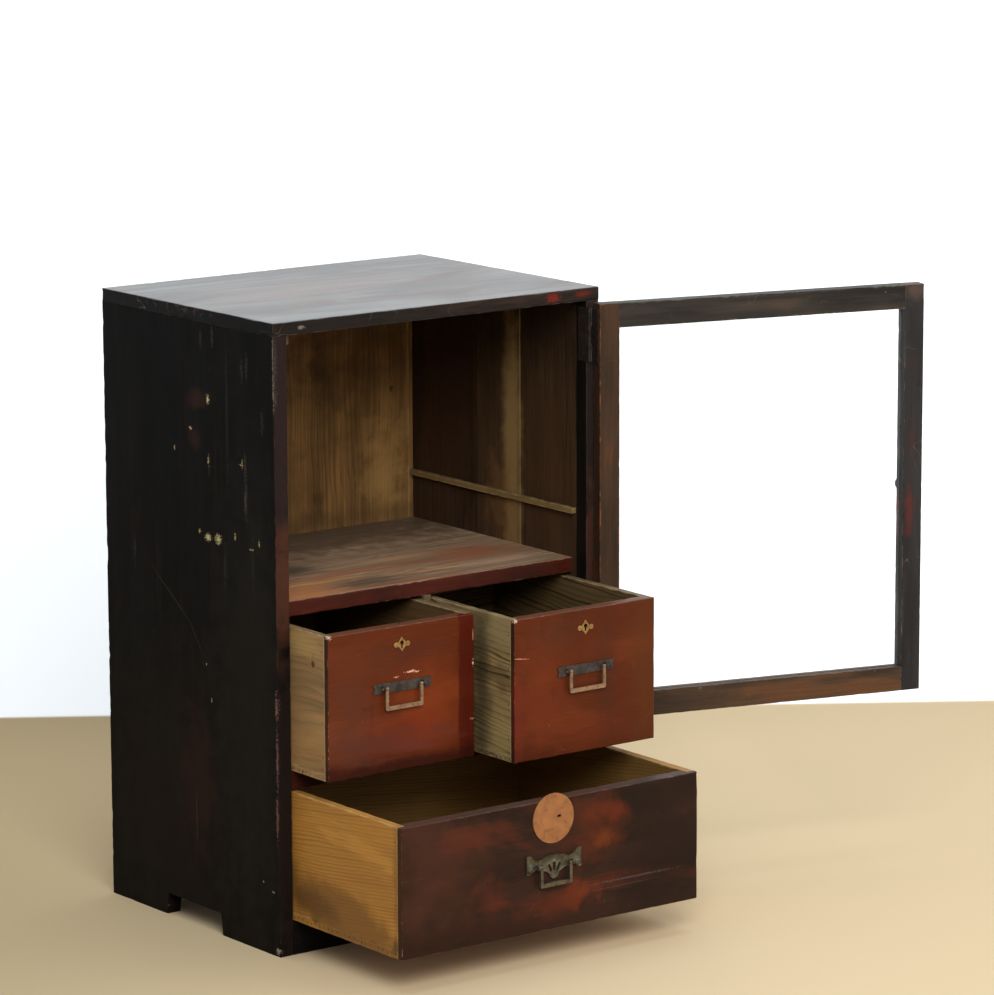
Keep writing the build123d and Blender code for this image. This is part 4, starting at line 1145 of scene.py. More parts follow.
LARGE_BROWN = Lacquer(
    "large_front_brown", coat=srgb(34, 23, 17), rubbed=srgb(62, 38, 28), glow=srgb(78, 38, 24), glow_cover=0.34,
    bare=srgb(146, 116, 104), wear=0.0012, wear_cover=0.75, streak=0.85, streak_at=(7.0, 19.0, 19.0), fibre=0.4,
    hairline=0.22, fleck=0.015, fleck_colour=srgb(132, 104, 88), rough=0.4, shine=0.10,
    faces=((LEFT, srgb(58, 38, 25), 0.9), (UP, srgb(96, 74, 64), 0.5)),
    marks=on_face(Y, -0.217, (
        (-0.17, 0.14, 0.06, 0.06, (76, 42, 30), 0.6, 0.8, 0.35),
        (0.17, 0.10, 0.06, 0.12, (34, 22, 17), 0.75, 0.8, 0.3),
        (-0.10, 0.055, 0.13, 0.014, (50, 26, 17), 0.6, 0.8, 0.3),
        (0.062, 0.155, 0.034, 0.034, (84, 38, 21), 0.7, 0.8, 0.5),
        (0.080, 0.172, 0.020, 0.010, (104, 42, 20), 0.6, 0.8, 0.6),
        (0.072, 0.140, 0.014, 0.012, (118, 56, 24), 0.5, 0.8, 0.6),
        (0.040, 0.079, 0.018, 0.012, (122, 52, 22), 0.65, 0.8, 0.6),
        (0.005, 0.074, 0.040, 0.012, (86, 38, 21), 0.6, 0.8, 0.6),
        (-0.095, 0.098, 0.022, 0.020, (84, 38, 24), 0.5, 0.8, 0.6),
        (-0.13, 0.170, 0.024, 0.014, (86, 40, 25), 0.45, 0.8, 0.6),
        (0.12, 0.0865, 0.052, 0.0010, (92, 86, 84), 0.45, 0.6, 0.6, CHIP_DEPTH),
        (0.10, 0.079, 0.040, 0.0006, (84, 76, 74), 0.35, 0.6, 0.6, CHIP_DEPTH),
        (-0.055, 0.034, 0.066, 0.0006, (120, 100, 92), 0.45, 0.5, 0.7, CHIP_DEPTH),
    )),
)
DOOR_BROWN = Lacquer(
    "door_brown", coat=srgb(38, 34, 32), rubbed=srgb(74, 64, 56), glow=srgb(92, 64, 45), glow_cover=0.25,
    bare=srgb(118, 104, 88), wear=0.0015, wear_cover=0.65, streak=0.9, streak_at=(5.0, 40.0, 40.0), fibre=0.4,
    hairline=0.2, fleck=0.03,
    rough=0.48, shine=0.14,
)
HINGE_STILE = replace(DOOR_BROWN, name="hinge_stile_brown", coat=srgb(48, 36, 27), rubbed=srgb(78, 56, 40),
                      glow=srgb(104, 58, 32), bare=srgb(142, 80, 42), wear=0.0020, wear_cover=0.8)
FREE_STILE = replace(DOOR_BROWN, name="free_stile_brown", coat=srgb(38, 37, 39), rubbed=srgb(56, 54, 55),
                     glow=srgb(66, 56, 54), glow_cover=0.12, marks=(
    Mark((0.628, -0.13, 0.455), (0.005, 0.05, 0.026), (104, 36, 28), 0.55, 0.8, 0.4),
    Mark((0.631, -0.13, 0.545), (0.005, 0.05, 0.020), (74, 36, 31), 0.35, 0.8, 0.4),
    Mark((0.630, -0.13, 0.640), (0.005, 0.05, 0.010), (66, 36, 31), 0.3, 0.8, 0.4),
    Mark((0.63, -0.12, 0.735), (0.02, 0.04, 0.012), (92, 74, 66), 0.6, 0.6, 0.6),
))
TOP_RAIL = replace(DOOR_BROWN, name="top_rail_brown", coat=srgb(36, 34, 33), rubbed=srgb(64, 58, 53),
                   glow=srgb(76, 62, 52), glow_cover=0.15, bare=srgb(122, 116, 100), wear=0.0026)
BOTTOM_RAIL = replace(DOOR_BROWN, name="bottom_rail_brown", coat=srgb(50, 40, 32), rubbed=srgb(90, 68, 50),
                      glow=srgb(98, 66, 44))

BOX = BareWood(
    "box_wood", early=srgb(156, 126, 84), late=srgb(92, 68, 40), ring=0.006, heart=(0.09, 0.03),
    slope=0.03, wander=0.004, contrast=0.65, grime=srgb(80, 64, 44), grime_cover=0.35,
    # the inner faces are darkened as painted shade
    worn=srgb(172, 148, 110), inside_tint=srgb(177, 168, 160), tops=srgb(84, 74, 56),
)
LEFT_BOX = replace(
    BOX, name="left_drawer_wood", early=srgb(168, 136, 92), late=srgb(104, 76, 46), ring=0.009, slope=0.05,
    wander=0.010, heart=(-0.14, 0.02), contrast=0.5, grime=srgb(92, 70, 46), grime_cover=0.6,
    knots=(Mark((-0.2195, -0.044, 0.362), (0.01, 0.0028, 0.004), (58, 40, 26), 0.9, 0.4, 0.4),),
    marks=on_face(X, -0.2195, (
        (-0.04, 0.27, 0.06, 0.035, (170, 126, 80), 0.45, 0.8, 0.9),
        (-0.01, 0.385, 0.04, 0.012, (176, 150, 92), 0.4, 0.8, 0.4),
        (0.0, 0.31, 0.03, 0.04, (132, 104, 72), 0.4, 0.8, 0.4),
    )),
)
RIGHT_BOX = replace(
    BOX, name="right_drawer_wood", early=srgb(160, 136, 92), late=srgb(42, 32, 19), ring=0.0068, dark_share=0.36,
    slope=-0.05, wander=0.009, heart=(-0.12, 0.03), contrast=1.0, grime=srgb(84, 70, 46), grime_cover=0.4,
    marks=on_face(X, 0.007, (
        (-0.10, 0.385, 0.06, 0.028, (146, 130, 92), 0.8, 0.6, 0.4),
        (-0.10, 0.325, 0.05, 0.012, (60, 46, 28), 0.5, 0.8, 0.6),
        (-0.11, 0.255, 0.03, 0.022, (172, 152, 98), 0.5, 0.8, 0.4),
        # painted shadow of the left drawer: a dark upright band where its front meets this side
        (-0.07, 0.31, 0.016, 0.12, (46, 38, 28), 0.7, 0.8, 0.3),
    )),
)
LARGE_BOX = replace(
    BOX, name="large_drawer_wood", early=srgb(186, 134, 60), late=srgb(132, 84, 34), ring=0.0042, dark_share=0.45,
    slope=0.11, wander=0.003, heart=(-0.16, 0.03), contrast=0.75, grime=srgb(132, 90, 42), grime_cover=0.4,
    # the inner faces are darkened and tinted blue as painted shade
    worn=srgb(196, 156, 96), inside_tint=srgb(188, 202, 232), tops=srgb(150, 112, 62), tops_cover=0.5,
    marks=on_face(X, -0.22, (
        (-0.09, 0.070, 0.120, 0.034, (112, 76, 36), 0.75, 0.35, 0.14, 0.01, (10.0, 0.0, 0.0)),
        (-0.04, 0.074, 0.045, 0.016, (80, 54, 26), 0.6, 0.7, 0.2, 0.01, (10.0, 0.0, 0.0)),
        (-0.14, 0.160, 0.060, 0.010, (206, 152, 72), 0.4, 0.8, 0.9, 0.01, (6.0, 0.0, 0.0)),
        (-0.205, 0.056, 0.006, 0.012, (50, 36, 20), 0.7, 0.6, 0.6),
        (-0.208, 0.12, 0.006, 0.08, (110, 84, 44), 0.5, 0.8, 0.4),
    )),
)
BACK = BareWood(
    "back_wood", early=srgb(160, 118, 68), late=srgb(92, 62, 32), ring=0.0066, dark_share=0.5, heart=(0.11, 0.04),
    slope=0.012, wander=0.009, contrast=0.7, grime=srgb(76, 56, 30), grime_cover=0.6, worn=srgb(130, 102, 64),
    fibre=0.45, fibre_at=(8.0, 420.0, 420.0),
    worn_cover=0.3, rough=0.6,
    knots=(Mark((0.1875, 0.354, 0.592), (0.0035, 0.01, 0.005), (44, 28, 18), 0.95, 0.4, 0.4),),
    marks=on_face(Y, 0.354, (
        # painted shadow under the top board: the back darkens towards the top
        (0.03, 0.76, 0.4, 0.13, (50, 32, 17), 0.8, 0.9, 0.3),
        (0.11, 0.60, 0.045, 0.05, (76, 60, 34), 0.5, 0.9, 0.5),
        (0.07, 0.66, 0.012, 0.05, (60, 38, 20), 0.5, 0.8, 0.6),
        (0.04, 0.47, 0.03, 0.05, (88, 58, 30), 0.5, 0.9, 0.5),
        (0.18, 0.50, 0.028, 0.07, (188, 146, 86), 0.6, 0.9, 0.5),
        # painted shade along the back's corner with the shelf
        (0.0, 0.432, 0.4, 0.012, (78, 56, 32), 0.6, 0.9, 0.3),
        (0.077, 0.464, 0.008, 0.012, (60, 42, 26), 0.6, 0.8, 0.6),
        (0.19, 0.482, 0.028, 0.0012, (160, 126, 78), 0.5, 0.5, 0.5),
        (0.214, 0.60, 0.0016, 0.2, (170, 138, 88), 0.6, 0.4, 0.4),
    )),
)
SIDE_WOOD = BareWood(
    "side_inner_wood", early=srgb(84, 61, 39), late=srgb(36, 25, 17), ring=0.0048, dark_share=0.5, heart=(0.1, 0.03),
    slope=0.014, wander=0.008, contrast=0.7, grime=srgb(34, 25, 17), grime_cover=0.6, worn=srgb(90, 70, 48),
    fibre=0.6, fibre_at=(9.0, 420.0, 420.0),
    worn_cover=0.3,
    seams=(Seam(0.132, 0.0, 1.35, 0.15), Seam(0.223, 0.0, 0.62, 0.5)),
    marks=on_face(X, 0.221, (
        # painted shadow under the top board: the side darkens towards the top
        (0.12, 0.76, 0.3, 0.10, (26, 18, 13), 0.8, 0.9, 0.3),
        (0.235, 0.60, 0.006, 0.10, (30, 18, 12), 0.6, 0.8, 0.8),
        (0.150, 0.53, 0.017, 0.17, (150, 122, 76), 0.75, 0.6, 0.25),
        (0.07, 0.50, 0.05, 0.12, (78, 52, 34), 0.4, 0.8, 0.5),
        (0.175, 0.47, 0.02, 0.06, (116, 82, 50), 0.6, 0.8, 0.5),
        (0.29, 0.58, 0.05, 0.14, (64, 38, 26), 0.55, 0.8, 0.5),
        (0.1335, 0.58, 0.0013, 0.4, (150, 126, 84), 0.8, 0.4, 0.3),
    )),
)
SHELF_WOOD = BareWood(
    "shelf_wood", early=srgb(198, 166, 136), late=srgb(88, 64, 46), ring=0.005, dark_share=0.5, heart=(0.12, 0.03),
    slope=0.03, wander=0.012, contrast=0.7, grime=srgb(108, 88, 68), grime_cover=0.5, worn=srgb(186, 144, 112),
    fibre=0.6, fibre_at=(7.0, 260.0, 260.0),
    worn_reach=0.002, worn_cover=0.7, rough=0.5, shine=0.3,
    marks=on_face(Z, 0.422, (
        (0.0, 0.35, 0.4, 0.11, (84, 70, 56), 0.85, 0.6, 0.3, 0.02),
        (-0.16, 0.06, 0.06, 0.05, (196, 126, 76), 0.75, 0.7, 0.9, 0.02),
        (-0.12, 0.098, 0.09, 0.005, (212, 164, 100), 0.7, 0.8, 1.2, 0.02),
        (0.02, 0.075, 0.09, 0.006, (206, 150, 96), 0.6, 0.8, 1.2, 0.02),
        (0.15, 0.075, 0.05, 0.012, (190, 156, 134), 0.6, 0.8, 0.9, 0.02),
        (0.07, 0.155, 0.05, 0.006, (196, 150, 104), 0.6, 0.8, 1.2, 0.02),
        (-0.05, 0.12, 0.12, 0.016, (160, 98, 66), 0.6, 0.8, 0.9, 0.02),
        (0.14, 0.13, 0.05, 0.03, (168, 102, 70), 0.75, 0.8, 0.9, 0.02),
        (-0.10, 0.175, 0.035, 0.018, (66, 62, 60), 0.75, 0.8, 0.9, 0.02),
        (-0.06, 0.062, 0.045, 0.020, (72, 66, 60), 0.75, 0.8, 0.9, 0.02),
        (-0.02, 0.040, 0.06, 0.008, (150, 92, 62), 0.6, 0.8, 0.9, 0.02),
        (0.05, 0.20, 0.10, 0.010, (150, 128, 104), 0.5, 0.8, 0.9, 0.02),
    )),
)
SHELF_EDGE = replace(DRAWER_RED, name="shelf_edge_red", coat=srgb(54, 21, 12), rubbed=srgb(92, 35, 19), faces=(),
                     glow_cover=0.2, bare=srgb(160, 114, 98), wear=0.0018)
PALE_STRIP = replace(BOX, name="ledger_wood", early=srgb(140, 116, 74), late=srgb(100, 78, 46), ring=0.003,
                     worn=srgb(160, 136, 90), slope=0.0, contrast=0.5)
HIDDEN_WOOD = replace(BOX, name="inner_board_wood", early=srgb(104, 84, 56), late=srgb(66, 50, 32), ring=0.006,
                      worn=srgb(120, 100, 70), worn_cover=0.3)

STRAP_IRON = OldMetal(
    "strap_iron", bright=srgb(84, 76, 72), patina=srgb(44, 40, 40), stain=srgb(78, 54, 40), patina_cover=0.85,
    stain_cover=0.4, rough=0.42, metallic=0.6,
)
BAIL_METAL = OldMetal(
    "bail_metal", bright=srgb(172, 138, 108), patina=srgb(122, 94, 74), stain=srgb(78, 56, 44), patina_cover=0.6,
    stain_cover=0.4, rough=0.42, metallic=0.7,
)
ESCUTCHEON_BRASS = OldMetal(
    "escutcheon_brass", bright=srgb(186, 148, 90), patina=srgb(126, 94, 54), stain=srgb(84, 60, 36),
    patina_cover=0.7, stain_cover=0.5, rough=0.36, metallic=0.75,
)
DISC_COPPER = OldMetal(
    "disc_copper", bright=srgb(168, 112, 66), patina=srgb(142, 90, 52), stain=srgb(92, 60, 40), patina_cover=0.6,
    stain_cover=0.3, cloud=60.0, rough=0.5, metallic=0.35, grain=(500.0, 500.0, 60.0),
)
CAST = OldMetal(
    "cast_plate_metal", bright=srgb(112, 104, 86), patina=srgb(60, 54, 45), stain=srgb(36, 34, 30), patina_cover=0.75,
    stain_cover=0.4, rough=0.34, metallic=0.8,
)
HINGE_IRON = OldMetal(
    "hinge_iron", bright=srgb(48, 43, 40), patina=srgb(28, 24, 23), stain=srgb(74, 44, 30), patina_cover=0.8,
    stain_cover=0.5, rough=0.5, metallic=0.6,
)
SCREW_STEEL = OldMetal(
    "screw_steel", bright=srgb(78, 70, 64), patina=srgb(48, 42, 38), stain=srgb(80, 50, 36), patina_cover=0.6,
    stain_cover=0.5, rough=0.42, metallic=0.8,
)
LOCK_STEEL = OldMetal(
    "lock_steel", bright=srgb(128, 124, 120), patina=srgb(84, 78, 72), stain=srgb(82, 56, 42), patina_cover=0.6,
    stain_cover=0.4, rough=0.4, metallic=0.8, grain=(60.0, 600.0, 600.0),
)
NAIL_IRON = replace(HINGE_IRON, name="nail_iron", bright=srgb(66, 56, 50), rough=0.55)
KNOB_DARK = Lacquer(
    "knob_dark", coat=srgb(26, 18, 16), rubbed=srgb(48, 32, 26), glow=srgb(60, 36, 26), glow_cover=0.3,
    bare=srgb(70, 50, 40), wear=0.0006, streak=0.6, hairline=0.1, fleck=0.01, rough=0.3, shine=0.4,
)
PANE = OldGlass("old_glass", cast=srgb(232, 240, 240), clear=0.025)


# ---------------------------------------------------------------- sub-assemblies

@dataclass
class Carcass:
    """The case: sides, top, rails, shelf, divider, back and the strips for a loose shelf."""

    bite: float = 0.0009  # how deep the dents of the most dented boards are
    dented: tuple[str, ...] = ("left_side", "right_side", "top_board", "display_shelf")
    right_edge: float = 0.2305  # the middle of the right side's front edge
    nails_across: int = 14
    nails_up: int = 9
    nail_r: float = 0.0016
    seed: int = 7

    def build(self) -> None:
        """Make every board of the case."""
        left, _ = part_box("left_side")
        case = replace(CASE, name="case_left", marks=(*side_chips(left.x), *front_edge_tones(left.x + 0.01)),
                       seams=(Seam(0.142, -0.024, 0.94, 0.7),))
        inner = replace(SIDE_WOOD, name="left_inner_wood")
        left_side = PartCoated("left_side_finish", inner, case, (LEFT, FRONT), COAT_BACK, 0.04)
        right = replace(CASE, name="case_right", marks=front_edge_tones(self.right_edge))
        right_side = PartCoated("right_side_finish", SIDE_WOOD, right, (RIGHT, FRONT), COAT_BACK, 0.2)
        shelf = PartCoated("shelf_finish", SHELF_WOOD, SHELF_EDGE, (FRONT,), shine=0.18)
        for node, grain, finish in (
            ("left_side", Grain.UPRIGHT, left_side), ("right_side", Grain.UPRIGHT, right_side),
            ("top_board", Grain.ACROSS, TOP), ("base_rail", Grain.ACROSS, CASE),
            ("middle_rail", Grain.ACROSS, RAIL_RED), ("display_shelf", Grain.ACROSS, shelf),
            ("drawer_divider", Grain.DEEP, HIDDEN_WOOD), ("bottom_board", Grain.ACROSS, HIDDEN_WOOD),
            ("dust_board", Grain.ACROSS, HIDDEN_WOOD), ("drawer_runners", Grain.DEEP, HIDDEN_WOOD),
            ("back_board_left", Grain.UPRIGHT, BACK), ("back_board_middle", Grain.UPRIGHT, BACK),
            ("back_board_right", Grain.UPRIGHT, BACK), ("left_ledger", Grain.DEEP, PALE_STRIP),
            ("right_ledger", Grain.DEEP, PALE_STRIP), ("door_stop", Grain.ACROSS, HIDDEN_WOOD),
        ):
            bite = self.bite if node in self.dented else Board.bite
            Board(node, grain, finish, bite=bite).build()
        self.nail_back()

    def nail_back(self) -> None:
        """Drive a row of nails through the back boards into the top and the sides."""
        rng = random.Random(self.seed)
        low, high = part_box("back_board_middle")
        left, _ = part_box("back_board_left")
        _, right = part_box("back_board_right")
        spots = []
        for step in range(self.nails_across):
            x = left.x + (right.x - left.x) * (step + 0.5) / self.nails_across
            spots.append((x, high.z - 0.006))
        for step in range(self.nails_up):
            z = low.z + (high.z - low.z) * (step + 0.5) / self.nails_up
            spots += [(left.x + 0.004, z), (right.x - 0.004, z)]
        heads = [
            tack(Vector((x + rng.uniform(-0.001, 0.001), high.y + 0.0004, z + rng.uniform(-0.002, 0.002))),
                 Vector(REAR), self.nail_r)
            for x, z in spots
        ]
        finished(gathered(heads), "back_nails", NAIL_IRON, "carcass", "hinge_iron", rounded=1.0)


@dataclass
class Hinges:
    """Both butt hinges: leaves with interleaved knuckles, their pins and slotted screws."""

    ease: float = 0.00025
    screw: SlottedScrew = SlottedScrew()

    def build(self, turned: Matrix) -> None:
        """Make the leaves, pins and screws.

        Args:
            turned: the turn that stands the door open.
        """
        for level in ("lower", "upper"):
            Fitting(f"{level}_hinge_frame_leaf", HINGE_IRON, ease=self.ease).build()
            Fitting(f"{level}_hinge_door_leaf", HINGE_IRON, ease=self.ease, turned=turned).build()
        Fitting("hinge_pins", HINGE_IRON, ease=0.0005, segments=3).build()
        self.drive("hinge_screws_in_side", -1.0, None)
        self.drive("hinge_screws_in_door", 1.0, turned)

    def drive(self, node: str, face: float, turned: Optional[Matrix]) -> None:
        """Put a slotted screw in each place of a node of plain ones.

        Args:
            node: the node of plain screws.
            face: the way along X that their heads face, with the door shut.
            turned: the turn that stands them open, if they go with the door.
        """
        plain = copy_of_node(node, turned)
        screws = []
        for part in islands(plain):
            low, high = extent(part)
            top = high.x if face > 0 else low.x
            y, z = (low.y + high.y) / 2, (low.z + high.z) / 2
            place = Matrix.Translation((top, y, z)) @ Matrix.Rotation(face * math.pi / 2, 4, "Y")
            screws.append(self.screw.build(place if turned is None else turned @ place))
        plain.free()
        finished(gathered(screws), node + "_slotted", SCREW_STEEL, BODY_OF[node], SLOT_OF[node], [node])


@dataclass
class Door:
    """The glazed door, which stands open, with its turned knob."""

    ease: float = 0.0005
    bite: float = 0.0004
    knob_steps: int = 40
    knob_profile: tuple[tuple[float, float], ...] = (  # radius as a share of the head's, and distance out
        (0.0, -0.012), (0.35, -0.012), (0.35, 0.0), (0.72, 0.0), (0.70, 0.0008), (0.60, 0.0016),
        (0.48, 0.0040), (0.47, 0.0056), (0.54, 0.0072), (0.74, 0.0084), (0.92, 0.0097), (1.0, 0.0114),
        (0.985, 0.0128), (0.90, 0.0143), (0.70, 0.0157), (0.40, 0.0166),
    )

    def build(self, turned: Matrix) -> None:
        """Make the frame, the pane and the knob.

        Args:
            turned: the turn that stands the door open.
        """
        for node, grain, finish in (
            ("door_hinge_stile", Grain.UPRIGHT, HINGE_STILE), ("door_free_stile", Grain.UPRIGHT, FREE_STILE),
            ("door_top_rail", Grain.ACROSS, TOP_RAIL), ("door_bottom_rail", Grain.ACROSS, BOTTOM_RAIL),
        ):
            Board(node, grain, finish, self.ease, self.bite, turned=turned).build()
        dress("door_glass_pane", PANE)
        self.knob(turned)

    def knob(self, turned: Matrix) -> None:
        """Turn the knob's profile round its axis.

        Args:
            turned: the turn that stands the door open.
        """
        plain = copy_of_node("door_knob", turned)
        low, high = extent(plain.verts)
        plain.free()
        head = (high.z - low.z) / 2
        profile = (*self.knob_profile, (0.0, -low.y))
        geometry = bmesh.new()
        chain = [geometry.verts.new((radius * head, 0.0, rise)) for radius, rise in profile]
        edges = [geometry.edges.new(pair) for pair in zip(chain, chain[1:])]
        bmesh.ops.spin(
            geometry, geom=[*chain, *edges], cent=(0.0, 0.0, 0.0), axis=(0.0, 0.0, 1.0), angle=math.tau,
            steps=self.knob_steps, use_merge=True,
        )
        bmesh.ops.remove_doubles(geometry, verts=geometry.verts, dist=MERGE)
        middle = Vector(((low.x + high.x) / 2, 0.0, (low.z + high.z) / 2))
        geometry.transform(turned @ Matrix.Translation(middle) @ Matrix.Rotation(math.pi / 2, 4, "X"))
        place_layer, half_layer, _ = board_layers(geometry)
        for vert in geometry.verts:
            vert[place_layer] = vert.co
            vert[half_layer] = Vector((FAR, FAR, FAR))
        finished(geometry, "door_knob_turned", KNOB_DARK, "door", "knob_wood", ["door_knob"], rounded=1.0)


def dress(node: str, finish: Finish) -> None:
    """Keep a frame node and give it a finish."""
    kept = frame["nodes"][node]
    kept.data.materials.clear()
    kept.data.materials.append(material_of(finish))
    log.info("%s keeps its shape and wears %s", node, finish.name)


@dataclass
class Drawer:
    """A drawer box with its lock, and nails that hold its sides and bottom."""

    name: str
    front: Lacquer
    wood: BareWood
    nail_r: float = 0.0011
    nail_pitch: float = 0.0085
    lap_nails: tuple[float, ...] = (0.12, 0.37, 0.63, 0.88)  # their heights, as shares of the side's

    def build(self) -> None:
        """Make the box, its nails and its lock."""
        # each part's inner face, and the back of the front, take the wood's painted shade
        inward = {"left_side": RIGHT, "right_side": LEFT, "back": FRONT, "bottom": UP}
        for part, way in inward.items():
            grain = Grain.DEEP if part.endswith("side") else Grain.ACROSS
            finish = replace(self.wood, name=f"{self.name}_{part}_wood", inside=way)
            Board(f"{self.name}_{part}", grain, finish).build()
        lined = replace(self.wood, name=f"{self.name}_lining", inside=REAR)
        faced = PartCoated(f"{self.name}_front_finish", lined, self.front, (FRONT, UP, RIGHT, LEFT),
                           shine=self.front.shine)
        Board(f"{self.name}_front", Grain.ACROSS, faced).build()
        self.nail_box()
        dress(f"{self.name}_lock_case", LOCK_STEEL)
        dress(f"{self.name}_lock_bolt", LOCK_STEEL)

    def nail_box(self) -> None:
        """Nail the sides to the front's laps and the bottom to the sides."""
        rng = random.Random(self.name)
        heads = []
        for part, way in (("left_side", -1.0), ("right_side", 1.0)):
            low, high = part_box(f"{self.name}_{part}")
            x = low.x if way < 0 else high.x
            facing = Vector((way, 0.0, 0.0))
            for share in self.lap_nails:
                z = low.z + (high.z - low.z) * share
                heads.append(tack(Vector((x, low.y + 0.004 + rng.uniform(0.0, 0.001), z)), facing, self.nail_r))
            floor_low, floor_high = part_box(f"{self.name}_bottom")
            edge = floor_low.x if way < 0 else floor_high.x
            count = int((floor_high.y - floor_low.y) / self.nail_pitch)
            for step in range(count):
                y = floor_low.y + (step + 0.5 + rng.uniform(-0.2, 0.2)) * self.nail_pitch
                z = (floor_low.z + floor_high.z) / 2 + rng.uniform(-0.0015, 0.0015)
                radius = self.nail_r * rng.uniform(0.5, 0.85)
                heads.append(tack(Vector((edge, y, z)), facing, radius, rng.uniform(1.0, 3.0)))
        finished(gathered(heads), f"{self.name}_nails", NAIL_IRON, self.name, "hinge_iron", rounded=1.0)


@dataclass
class SmallDrawer(Drawer):
    """A small drawer with a brass escutcheon and a square bail on an iron strap."""

    lobe_r: float = 0.0032  # of the escutcheon's side lobes
    pin_r: float = 0.0011

    def build(self) -> None:
        """Make the drawer and its fittings."""
        super().build()
        Fitting(f"{self.name}_escutcheon", ESCUTCHEON_BRASS, ease=0.00025).build()
        Fitting(f"{self.name}_strap", STRAP_IRON).build()
        Fitting(f"{self.name}_bail", BAIL_METAL, 0.0004).build()
        self.pin_escutcheon()

    def pin_escutcheon(self) -> None:
        """Set the two round pins of the escutcheon."""
        low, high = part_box(f"{self.name}_escutcheon")
        middle = (low + high) / 2
        reach = (high.x - low.x) / 2 - self.lobe_r
        heads = [
            tack(Vector((middle.x + side * reach, low.y - 0.0002, middle.z)), Vector(FRONT), self.pin_r)
            for side in (-1.0, 1.0)
        ]
        finished(gathered(heads), f"{self.name}_escutcheon_pins", ESCUTCHEON_BRASS, self.name, "brass_fitting",
                 rounded=1.0)


@dataclass
class LargeDrawer(Drawer):
    """The large drawer with a round lock plate and a bail on a pierced cast plate."""

    def build(self) -> None:
        """Make the drawer and its fittings."""
        super().build()
        Fitting(f"{self.name}_lock_plate", DISC_COPPER, ease=0.0004).build()
        CastPlate(f"{self.name}_handle_plate", CAST).build()
        Fitting(f"{self.name}_bail", CAST, ease=0.0006).build()


# ---------------------------------------------------------------- studio

@dataclass(frozen=True)
class Lamp:
    """A square soft light that faces a point."""

    name: str
    at: Triple
    aim: Triple
    size: float
    power: float
    colour: Triple = (1.0, 1.0, 1.0)

    def hang(self) -> None:
        """Add the light to the scene."""
        data = bpy.data.lights.new(self.name, "AREA")
        data.shape = "SQUARE"
        data.size = self.size
        data.energy = self.power
        data.color = self.colour
        lamp = placed(self.name, data)
        lamp.location = self.at
        lamp.rotation_euler = (Vector(self.aim) - Vector(self.at)).to_track_quat("-Z", "Y").to_euler()


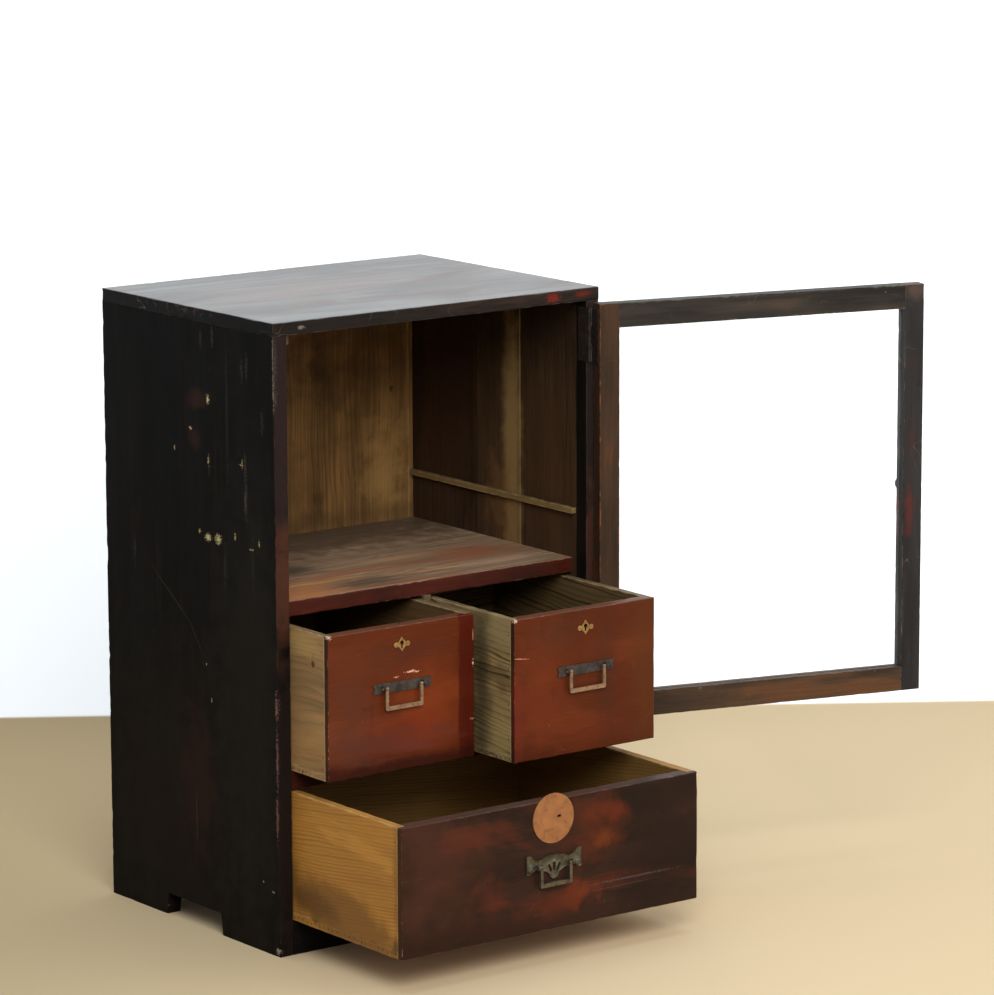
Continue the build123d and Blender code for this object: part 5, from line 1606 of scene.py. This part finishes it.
@dataclass
class Studio:
    """The camera, a plain pale floor and wall, and soft light."""

    eye: Triple = (-3.3419, -4.5319, 1.6045)
    heading: float = 37.087  # degrees from +Y towards +X
    pitch: float = -10.834
    roll: float = -0.2134
    lens: float = 173.86
    sensor: float = 36.0
    wall_away: float = 1.115  # behind the origin, along the view
    wall_turn: float = 3.4  # degrees that its right end lies further back
    wall_high: float = 4.0
    reach: float = 6.0  # half the width of the floor and the wall
    near: float = 12.0  # how far the floor reaches forward, and back behind the wall
    cove: float = 0.004
    # the floor is painted darker at its left than at its right, as painted shade
    floor_left: Tone = (168, 152, 119)
    floor_right: Tone = (214, 194, 160)
    wall: Tone = (224, 229, 232)
    floor_glow: Colour = (0.012, 0.010, 0.008, 1.0)
    wall_glow: Colour = (0.515, 0.572, 0.642, 1.0)
    room: Colour = (0.93, 0.96, 1.0, 1.0)
    camera_world: float = 0.8  # the world's strength where it is seen
    light_world: float = 0.38  # its strength where it gives light

    def build(self) -> None:
        """Make the studio."""
        self.camera()
        self.floor_and_wall()
        self.sky()
        for lamp in (
            Lamp("key", (-1.9, -3.4, 3.0), (0.0, 0.0, 0.4), 2.2, 150.0, (1.0, 0.99, 0.97)),
            Lamp("fill", (2.6, -3.2, 2.0), (0.1, 0.0, 0.4), 2.6, 45.0, (0.97, 0.985, 1.0)),
            Lamp("overhead", (0.2, 0.4, 3.6), (0.1, 0.1, 0.0), 3.0, 55.0),
        ):
            lamp.hang()

    def camera(self) -> None:
        """Stand the camera and make it the scene's."""
        data = bpy.data.cameras.new("camera")
        data.sensor_fit = "HORIZONTAL"
        data.sensor_width = self.sensor
        data.lens = self.lens
        data.clip_end = 60.0
        camera = placed("camera", data)
        turn = (
            Matrix.Rotation(math.radians(-self.heading), 4, "Z")
            @ Matrix.Rotation(math.radians(90.0 + self.pitch), 4, "X")
            @ Matrix.Rotation(math.radians(self.roll), 4, "Z")
        )
        camera.matrix_world = Matrix.Translation(self.eye) @ turn
        bpy.context.scene.camera = camera

    def floor_and_wall(self) -> None:
        """Sweep a floor up into a wall behind the cabinet. The floor goes on behind it, for views from there."""
        geometry = bmesh.new()
        near = [geometry.verts.new((side * self.reach, -self.near, 0.0)) for side in (-1.0, 1.0)]
        edge = [geometry.edges.new(near)]
        foot: list[bmesh.types.BMEdge] = []
        for move, turning in ((self.near + self.wall_away - self.cove, False), (0.0, True), (self.wall_high, False)):
            if turning:
                swept = bmesh.ops.spin(
                    geometry, geom=edge, cent=(0.0, self.wall_away - self.cove, self.cove), axis=(1.0, 0.0, 0.0),
                    angle=math.pi / 2, steps=8,
                )
                swept = {"geom": swept["geom_last"]}
            else:
                swept = bmesh.ops.extrude_edge_only(geometry, edges=edge)
                verts = only(bmesh.types.BMVert, swept)
                way = (0.0, move, 0.0) if verts[0].co.z < MERGE else (0.0, 0.0, move)
                bmesh.ops.translate(geometry, verts=verts, vec=way)
            edge = only(bmesh.types.BMEdge, swept)
            foot = foot or edge
        beyond = only(bmesh.types.BMVert, bmesh.ops.extrude_edge_only(geometry, edges=foot))
        bmesh.ops.translate(geometry, verts=beyond, vec=(0.0, self.near, 0.0))
        geometry.transform(Matrix.Rotation(math.radians(self.wall_turn - self.heading), 4, "Z"))
        geometry.normal_update()
        for face in geometry.faces:  # the floor faces up and the wall faces the camera
            face.smooth = True
            if face.normal.z < -0.01 or face.normal.y > 0.5:
                face.normal_flip()
        mesh = mesh_of(geometry, "floor_and_wall")
        stage = placed("floor_and_wall", mesh)
        mesh.materials.append(self.pale())

    def pale(self) -> bpy.types.Material:
        """The pale paint of the floor and the wall, a little brighter where it is seen than where it gives light. The
        floor's paint and the seen glow are darker to the left and brighter to the right, as painted shade and painted
        light.

        The back of the wall lets sight and lamplight through, so a camera behind it sees the cabinet.
        """
        graph = Graph("studio_pale")
        x, y, z = graph.split(graph.place)
        risen = graph.smooth(z, 0.0, self.cove)
        right = graph.minus(graph.times(x, 0.8), graph.times(y, 0.6))
        # painted shade: the floor's paint darkens towards the left
        floor = graph.mix(graph.smooth(right, -1.0, 0.5), srgb(*self.floor_left), srgb(*self.floor_right))
        paint = graph.mix(risen, floor, srgb(*self.wall))
        path = graph.add("LightPath").outputs
        seen = graph.math("MAXIMUM", path["Is Camera Ray"], path["Is Glossy Ray"])
        seen = graph.math("MAXIMUM", seen, path["Is Transmission Ray"])
        # painted light: the seen glow falls off to the left and rises to the right
        painted_falloff = graph.smooth(right, -1.2, 1.6, 0.76, 1.3)
        glow = graph.mix(risen, self.floor_glow, self.wall_glow)
        shining = graph.add("Emission", {"Color": glow, "Strength": graph.times(seen, painted_falloff)})
        painted = graph.add("BsdfDiffuse", {"Color": paint})
        both = graph.add("AddShader", {0: painted.outputs[0], 1: shining.outputs[0]})
        through = graph.math("MAXIMUM", path["Is Camera Ray"], path["Is Shadow Ray"])
        through = graph.times(through, graph.add("NewGeometry").outputs["Backfacing"])
        clear = graph.add("BsdfTransparent")
        return graph.close(graph.add("MixShader", {0: through, 1: both.outputs[0], 2: clear.outputs[0]}))

    def sky(self) -> None:
        """Fill the rest of the room with even light."""
        world = bpy.data.worlds.new("room")
        world.use_nodes = True
        shade = world.node_tree.nodes["Background"]
        shade.inputs["Color"].default_value = self.room
        links = world.node_tree.links
        path = world.node_tree.nodes.new("ShaderNodeLightPath")
        level = world.node_tree.nodes.new("ShaderNodeMath")
        level.operation = "MULTIPLY_ADD"
        level.inputs[1].default_value = self.camera_world - self.light_world
        level.inputs[2].default_value = self.light_world
        links.new(path.outputs["Is Camera Ray"], level.inputs[0])
        links.new(level.outputs[0], shade.inputs["Strength"])
        bpy.context.scene.world = world


def main() -> None:
    """Build the studio and every part of the cabinet in order."""
    logging.basicConfig(level=logging.INFO, format="%(message)s")
    bpy.context.scene.view_settings.view_transform = "Standard"
    Studio().build()
    turned = door_turn()
    Carcass().build()
    Hinges().build(turned)
    Door().build(turned)
    SmallDrawer("left_drawer", LEFT_RED, LEFT_BOX).build()
    SmallDrawer("right_drawer", RIGHT_RED, RIGHT_BOX).build()
    LargeDrawer("large_drawer", LARGE_BROWN, LARGE_BOX).build()


if __name__ == "__main__":
    main()
